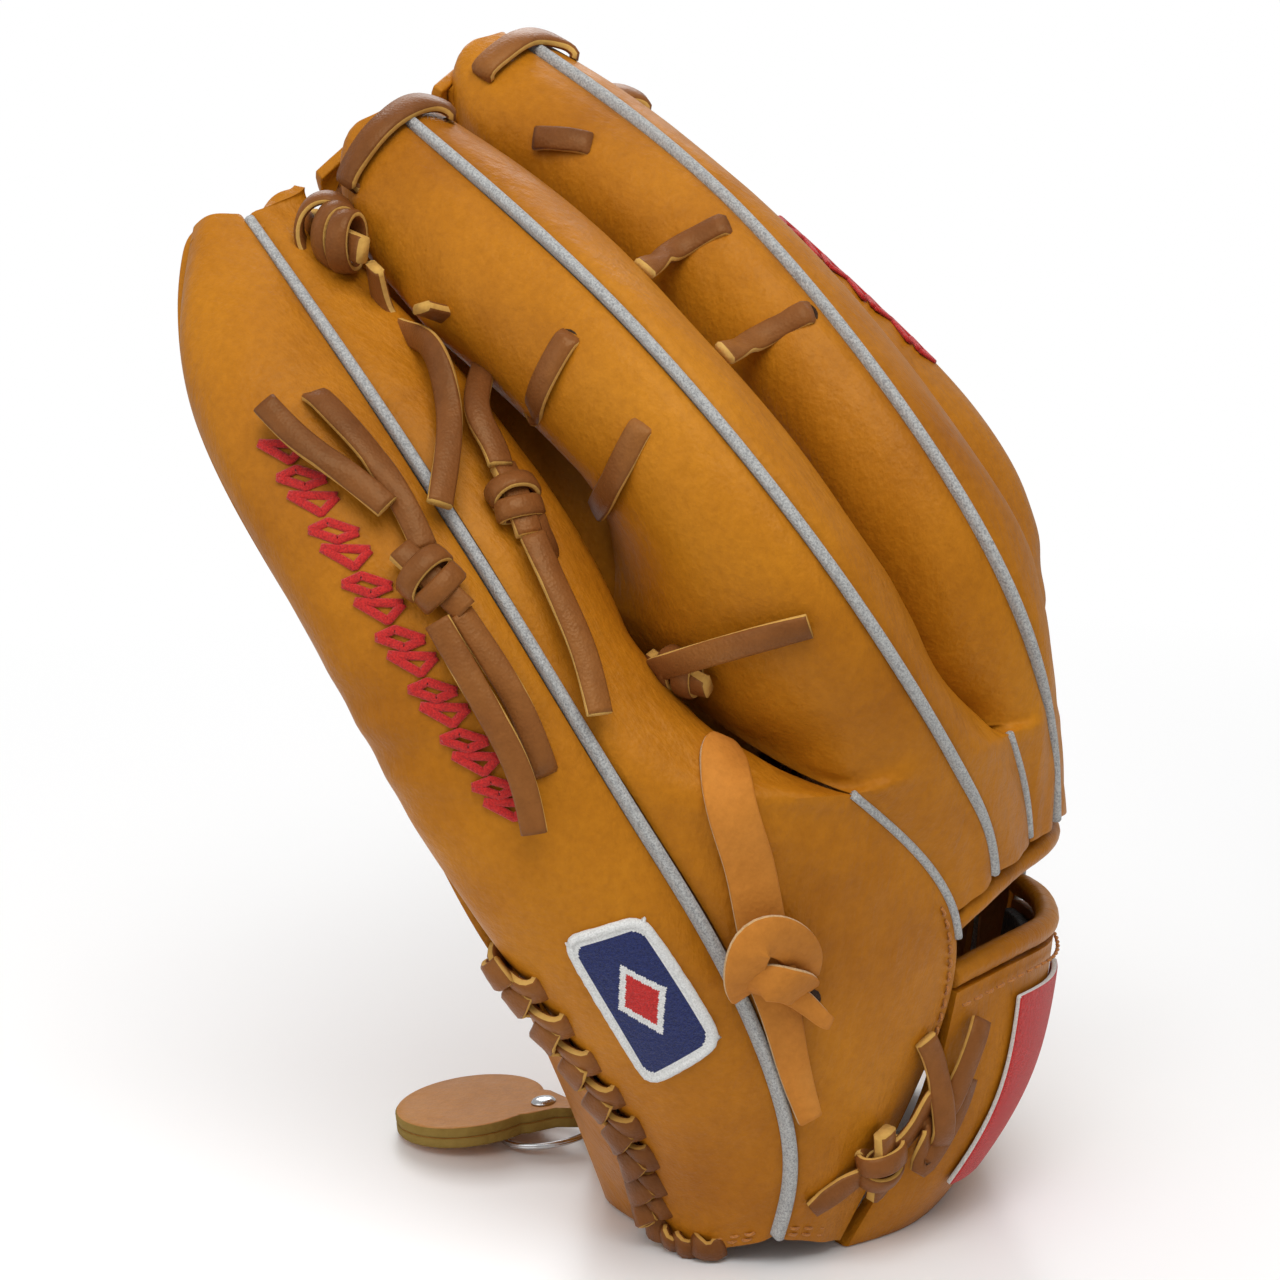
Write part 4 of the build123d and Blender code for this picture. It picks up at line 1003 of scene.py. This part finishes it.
colors = []
index = 0
for i in range(rows - 1):
    for j in range(cols - 1):
        kind = badge_color((i + 0.5) / (rows - 1), (j + 0.5) / (cols - 1))
        colors += [1, kind]
colors += [1] * (len(faces) - len(colors))
piece = add_mesh("heel_badge", metres(points), faces, [NAVY, WHITE, RED], colors)
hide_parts("heel_patch")
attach(piece, "finger_half")
ring = np.concatenate([grid[0, :-1], grid[:-1, -1], grid[-1, :0:-1], grid[:0:-1, 0]])
centre = grid.mean(axis=(0, 1))
lifted = [p + unit(p - centre) * 0.2 + up_at("pinky", -1, 1.9, 0.3) * 1.4 for p in ring[::3]]
piece = pieces_from("badge_border", [tube_data(resample(lifted + [lifted[0]], 1.2), 1.25, 8, lump=0.06, seed=2)], [WHITE])
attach(piece, "finger_half")

parts = []
MARKS = np.linspace(0.02, 0.98, 15)
for k, share in enumerate(MARKS):
    t = 4.68 + (2.98 - 4.68) * share
    near, far = 0.37 - 0.10 * share, 0.555 - 0.15 * share
    middle, tall = (near + far) / 2, 0.040
    shapes = [
        [(t + tall, near), (t + tall, far), (t - tall, middle), (t + tall, near)],
        [(t, near), (t + tall, middle), (t, far), (t - tall, middle), (t, near)],
    ]
    curve = [on_panel("pinky", -1, a, b, 1.4) for a, b in shapes[k % 2]]
    line = np.concatenate([np.linspace(p, q, 8) for p, q in zip(curve, curve[1:])])
    ups = np.tile(up_at("pinky", -1, t, middle), (len(line), 1))
    parts.append(lace_data(line, ups, 2.1, 0.9, 0.0, k))
piece = pieces_from("pinky_stitched_motif", parts, [RED, RED], ["pinky_embroidery"])
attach(piece, "finger_half")

parts = []
for k, t in enumerate(np.linspace(5.02, 4.42, 7)):
    u = 0.28 + 0.03 * k
    corners = ((-0.06, -0.10), (0.05, 0.0), (-0.06, 0.10)) if k % 2 else ((0.0, -0.10), (0.05, 0.0), (0.0, 0.10), (-0.05, 0.0), (0.0, -0.10))
    curve = [on_panel("index", 1, t + dt, u + du, 1.2) for dt, du in corners]
    line = np.concatenate([np.linspace(p, q, 6) for p, q in zip(curve, curve[1:])])
    parts.append(lace_data(line, np.tile(up_at("index", 1, t, u), (len(line), 1)), 2.6, 1.0, 0, k))
piece = pieces_from("index_stitched_motif", parts, [RED, RED])
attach(piece, "finger_half")

tie = []
curve, ups = over([("pinky", 1, 2.02, 0.13, 1), ("pinky", 1, 2.37, 0.20), ("pinky", 1, 2.68, 0.28), ("pinky", 1, 3.03, 0.38),
                   ("pinky", 1, 3.36, 0.62)], 2.6)
vertices, faces, marks = lace_data(curve, ups, 11.5, 2.4, 0.04, 1)
ahead_end = unit(curve[-1] - curve[-2])
nose = np.clip((np.dot(vertices - curve[-1], ahead_end) + 9) / 9, 0, 1)[:, None]
tie.append((vertices + (curve[-1] - ahead_end * 1.5 - vertices) * nose ** 2 * 0.7, faces, marks))
curve, ups = over([("pinky", 1, 2.0, 0.12), ("pinky", 1, 1.72, 0.10), ("pinky", 1, 1.42, 0.08), ("pinky", 1, 1.10, 0.10)], 2.4)
tie.append(lace_data(curve, ups, 11.0, 2.4, 0.05, 2, taper=0.45))
curve, ups = over([("pinky", 1, 1.90, 0.03, 0.5), ("pinky", 1, 2.04, 0.04, 5.5), ("pinky", 1, 2.22, 0.11, 7.5),
                   ("pinky", 1, 2.24, 0.20, 6), ("pinky", 1, 2.10, 0.24, 3.5), ("pinky", 1, 1.96, 0.21, 1)], 3.2)
tie.append(lace_data(curve, ups, 10.0, 2.4, 0.12, 3))
curve, ups = over([("pinky", 1, 1.84, 0.20, 0), ("pinky", 1, 1.93, 0.17, 5.5), ("pinky", 1, 1.99, 0.09, 6.5), ("pinky", 1, 1.93, 0.03, 2)], 3.0)
tie.append(lace_data(curve, ups, 9.0, 2.4, 0.1, 4))
curve, ups = over([("pinky", 1, 1.92, 0.10, 1.0), ("pinky", 1, 1.83, 0.17, 2.5), ("pinky", 1, 1.72, 0.22, 3.5), ("pinky", 1, 1.66, 0.25, 2.0)], 2.4)
tie.append(lace_data(curve, ups, 7.0, 2.2, 0.3, 6, taper=0.5))
curve, ups = over([("pinky", 1, 2.20, 0.14), ("pinky", 1, 2.08, 0.14), ("pinky", 1, 1.94, 0.12)], 4.2)
tie.append(lace_data(curve, ups, 11.0, 5.5, 0.1, 6))
piece = pieces_from("suede_band", tie, [TIE, TIE_EDGE], ["suede_tie"])
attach(piece, "finger_half")

# ---- free tails ----
TAILS = {
    "fingertip_lace_tail": [("ring", -1, 5.58, 0.62), ("ring", -1, 5.46, 0.84),
                            ("pinky", 1, 5.09, 0.27), ("pinky", 1, 4.85, 0.19),
                            ("pinky", 1, 4.65, 0.08), ("pinky", -1, 4.40, 0.06)],
    "gap_lace_tail_upper": [("ring", -1, 5.38, 0.56), ("ring", -1, 5.24, 0.80),
                            ("pinky", 1, 4.81, 0.31), ("pinky", 1, 4.62, 0.23),
                            ("pinky", 1, 4.50, 0.20)],
    "gap_lace_tail_lower": [("pinky", 1, 4.19, 0.16), ("pinky", 1, 3.94, 0.13),
                            ("pinky", 1, 3.68, 0.10), ("pinky", 1, 3.44, 0.05)],
    "panel_lace_tail_upper": [("pinky", -1, 4.83, 0.45), ("pinky", -1, 4.66, 0.38),
                              ("pinky", -1, 4.52, 0.29), ("pinky", -1, 4.38, 0.22)],
    "panel_lace_tail_lower": [("pinky", -1, 3.90, 0.25), ("pinky", -1, 3.60, 0.24),
                              ("pinky", -1, 3.26, 0.24), ("pinky", -1, 2.93, 0.29)],
}
for k, (name, route) in enumerate(TAILS.items()):
    centre = np.array([on_panel(*stop, 6.5) for stop in route])
    curve = resample(centre, 1.2)
    first, last = route[0], route[-1]
    ups = np.linspace(up_at(*first), up_at(*last), len(curve))
    data = lace_data(curve, ups, 6.0, 2.5, 0.3, 30 + k)
    piece = pieces_from(f"{name}_strip", [data], [LACE, RAW], [name])
    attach(piece, "finger_half")

# ---- ring and tag ----
JOIN = np.array([-17.0, 55.0, 4.8])
TAG_AHEAD = np.array([-0.205, 0.979, 0.0])
TAG_SIDE = np.array([-0.979, -0.205, 0.0])


def tag_frame(slope):
    """Origin, forward, side and up directions of something lying from the fold outwards."""
    ahead = unit(TAG_AHEAD - np.array([0, 0, math.tan(math.radians(slope))]))
    return JOIN, ahead, TAG_SIDE, np.cross(ahead, TAG_SIDE)


origin, ahead, side, up = tag_frame(8.3)
parts = []
for k, angle in enumerate(np.linspace(0, 2 * math.pi, 2)[:-1]):
    turns = np.linspace(0, 4 * math.pi - 0.15, 150)
    coil = [origin + ahead * 12.5 + (ahead * -math.cos(a) + side * math.sin(a)) * 12.5
            + up * (-0.5 + 1.0 * a / (4 * math.pi)) for a in turns]
    parts.append(tube_data(coil, 0.62, 12))
piece = pieces_from("ring_wire", parts, [STEEL], ["split_ring"])
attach(piece, "ring")

origin, ahead, side, up = tag_frame(6.1)


def tag_outline(start):
    """Outline of the tag: tapered fold, neck and oval body, as (along, across) pairs."""
    neck = [(start, 4.0), (8, 4.2), (11, 6.5), (14, 9.0)]
    angles = np.linspace(math.radians(153), 0, 26)
    oval = [(34 + 20 * math.cos(a), 21 * math.sin(a)) for a in angles]
    half = neck + oval
    return half + [(x, -y) for x, y in half[::-1]][1:]


def ply_data(start, low, thick):
    outline = np.array(tag_outline(start))
    middle = np.array([26.0, 0.0])
    levels = [(0.985, low), (1.0, low + 0.5), (1.0, low + thick - 0.5), (0.985, low + thick), (0.9, low + thick), (0.5, low + thick)]
    vertices = []
    for scale, height in levels:
        for x, y in middle + (outline - middle) * scale:
            vertices.append(origin + ahead * x + side * y + up * height)
    n = len(outline)
    faces, marks = [], []
    for level in range(len(levels) - 1):
        for k in range(n):
            a, b = level * n + k, level * n + (k + 1) % n
            faces.append((a, b, b + n, a + n))
            marks.append(1 if level < 3 else 0)
    last = (len(levels) - 1) * n
    faces.append(tuple(last + k for k in range(n)))
    faces.append(tuple(range(n))[::-1])
    marks += [0, 0]
    return vertices, faces, marks


low = 4.1 - 2.6 + 0.2
piece = pieces_from("tag_lower_leather", [ply_data(1.0, low, 2.6)], [TAG_MAT, TAG_EDGE], ["tag_lower_ply"])
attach(piece, "tag")
piece = pieces_from("tag_upper_leather", [ply_data(1.0, low + 2.8, 2.6)], [TAG_MAT, TAG_EDGE], ["tag_upper_ply"])
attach(piece, "tag")
arc = [origin + ahead * (3.1 * -math.cos(a)) + up * (3.1 * math.sin(a)) for a in np.linspace(-1.2, 1.5, 14)]
piece = pieces_from("tag_fold", [lace_data(np.array(arc), unit(np.array(arc) - origin), 7.0, 1.9)], [TAG_MAT, TAG_EDGE])
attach(piece, "tag")
head = []
for radius, height in ((3.4, 0.0), (3.3, 0.5), (2.7, 1.0), (1.6, 1.35), (0.5, 1.5)):
    head += [origin + ahead * (13 + radius * math.cos(a)) + side * (radius * math.sin(a)) + up * (low + 5.4 + height)
             for a in np.linspace(0, 2 * math.pi, 25)[:-1]]
faces = [(l * 24 + k, l * 24 + (k + 1) % 24, (l + 1) * 24 + (k + 1) % 24, (l + 1) * 24 + k) for l in range(4) for k in range(24)]
faces += [tuple(range(24))[::-1], tuple(96 + k for k in range(24))]
piece = pieces_from("rivet_cap", [(head, faces, [0] * len(faces))], [STEEL], ["tag_rivet"])
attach(piece, "tag")
start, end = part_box("tag_lace_loop")
loop_low, loop_high = np.array(start) * 1000 - SHIFT, np.array(end) * 1000 - SHIFT
middle = (loop_low + loop_high) / 2
reach = unit(np.array([0.837, -0.547, 0.0]))
lap = [middle + reach * (10.4 * math.cos(a)) + np.array([0, 0, 2.5 * math.sin(a)]) for a in np.linspace(0, 2 * math.pi, 40)]
ups = unit(np.array(lap) - middle)
piece = pieces_from("ring_lace_loop", [lace_data(np.array(lap), ups, 4.2, 1.6)], [LACE, RAW], ["tag_lace_loop"])
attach(piece, "finger_half")

# ---- setting and camera ----
def plain(name, color, rough):
    mat = bpy.data.materials.new(name)
    mat.use_nodes = True
    shader = mat.node_tree.nodes["Principled BSDF"]
    shader.inputs["Base Color"].default_value = (*color, 1)
    shader.inputs["Roughness"].default_value = rough
    return mat


def camera_level(tree, others, camera):
    """A strength that is camera for what the camera sees directly and others for all other light."""
    seen = tree.nodes.new("ShaderNodeLightPath")
    level = tree.nodes.new("ShaderNodeMapRange")
    level.inputs["To Min"].default_value = others
    level.inputs["To Max"].default_value = camera
    tree.links.new(seen.outputs["Is Camera Ray"], level.inputs["Value"])
    return level.outputs["Result"]


FLOOR = plain("floor_white", (0.93, 0.93, 0.93), 0.35)
tree = FLOOR.node_tree
glow = tree.nodes.new("ShaderNodeEmission")
tree.links.new(camera_level(tree, 0.5, 1.0), glow.inputs["Strength"])
away = tree.nodes.new("ShaderNodeVectorMath")
away.operation = "LENGTH"
tree.links.new(tree.nodes.new("ShaderNodeTexCoord").outputs["Object"], away.inputs[0])
fade = tree.nodes.new("ShaderNodeMapRange")
fade.inputs["From Min"].default_value = 0.22
fade.inputs["From Max"].default_value = 0.62
tree.links.new(away.outputs["Value"], fade.inputs["Value"])
blend = tree.nodes.new("ShaderNodeMixShader")
tree.links.new(fade.outputs["Result"], blend.inputs["Fac"])
tree.links.new(tree.nodes["Principled BSDF"].outputs["BSDF"], blend.inputs[1])
tree.links.new(glow.outputs["Emission"], blend.inputs[2])
tree.links.new(blend.outputs["Shader"], tree.nodes["Material Output"].inputs["Surface"])
bpy.ops.mesh.primitive_plane_add(size=16, location=(0, 0, -0.0002))
floor = bpy.context.object
floor.name = "floor"
floor.data.materials.append(FLOOR)

world = bpy.data.worlds.new("studio")
bpy.context.scene.world = world
world.use_nodes = True
sky = world.node_tree.nodes["Background"]
sky.inputs["Color"].default_value = (1, 1, 1, 1)
world.node_tree.links.new(camera_level(world.node_tree, 0.5, 1.0), sky.inputs["Strength"])


def area(name, place, aim, size, power, color=(1, 1, 1)):
    data = bpy.data.lights.new(name, "AREA")
    data.shape = "SQUARE"
    data.size = size
    data.energy = power
    data.color = color
    lamp = bpy.data.objects.new(name, data)
    bpy.context.scene.collection.objects.link(lamp)
    lamp.location = place
    lamp.rotation_euler = (Vector(aim) - Vector(place)).to_track_quat("-Z", "Y").to_euler()
    return lamp


TARGET = Vector(metres((-35, 30, 145)))
azimuth, elevation, reach_m = math.radians(-60), math.radians(14), 0.850
CAMERA_AWAY = Vector((math.sin(azimuth) * math.cos(elevation), -math.cos(azimuth) * math.cos(elevation),
                      math.sin(elevation)))
area("key", (-0.55, -0.35, 1.1), (0, 0, 0.12), 0.8, 9.5)
area("fill", (-1.1, 0.5, 0.6), (0, 0, 0.15), 0.9, 3)
area("back_light", (0.8, 0.6, 0.9), (0, 0, 0.15), 0.8, 6)

camera_data = bpy.data.cameras.new("camera")
camera_data.lens = 96.8
camera_data.sensor_width = 36
camera = bpy.data.objects.new("camera", camera_data)
bpy.context.scene.collection.objects.link(camera)
camera.location = TARGET + CAMERA_AWAY * reach_m
camera.rotation_euler = (TARGET - camera.location).to_track_quat("-Z", "Y").to_euler()
bpy.context.scene.camera = camera

bpy.context.scene.view_settings.view_transform = "Standard"
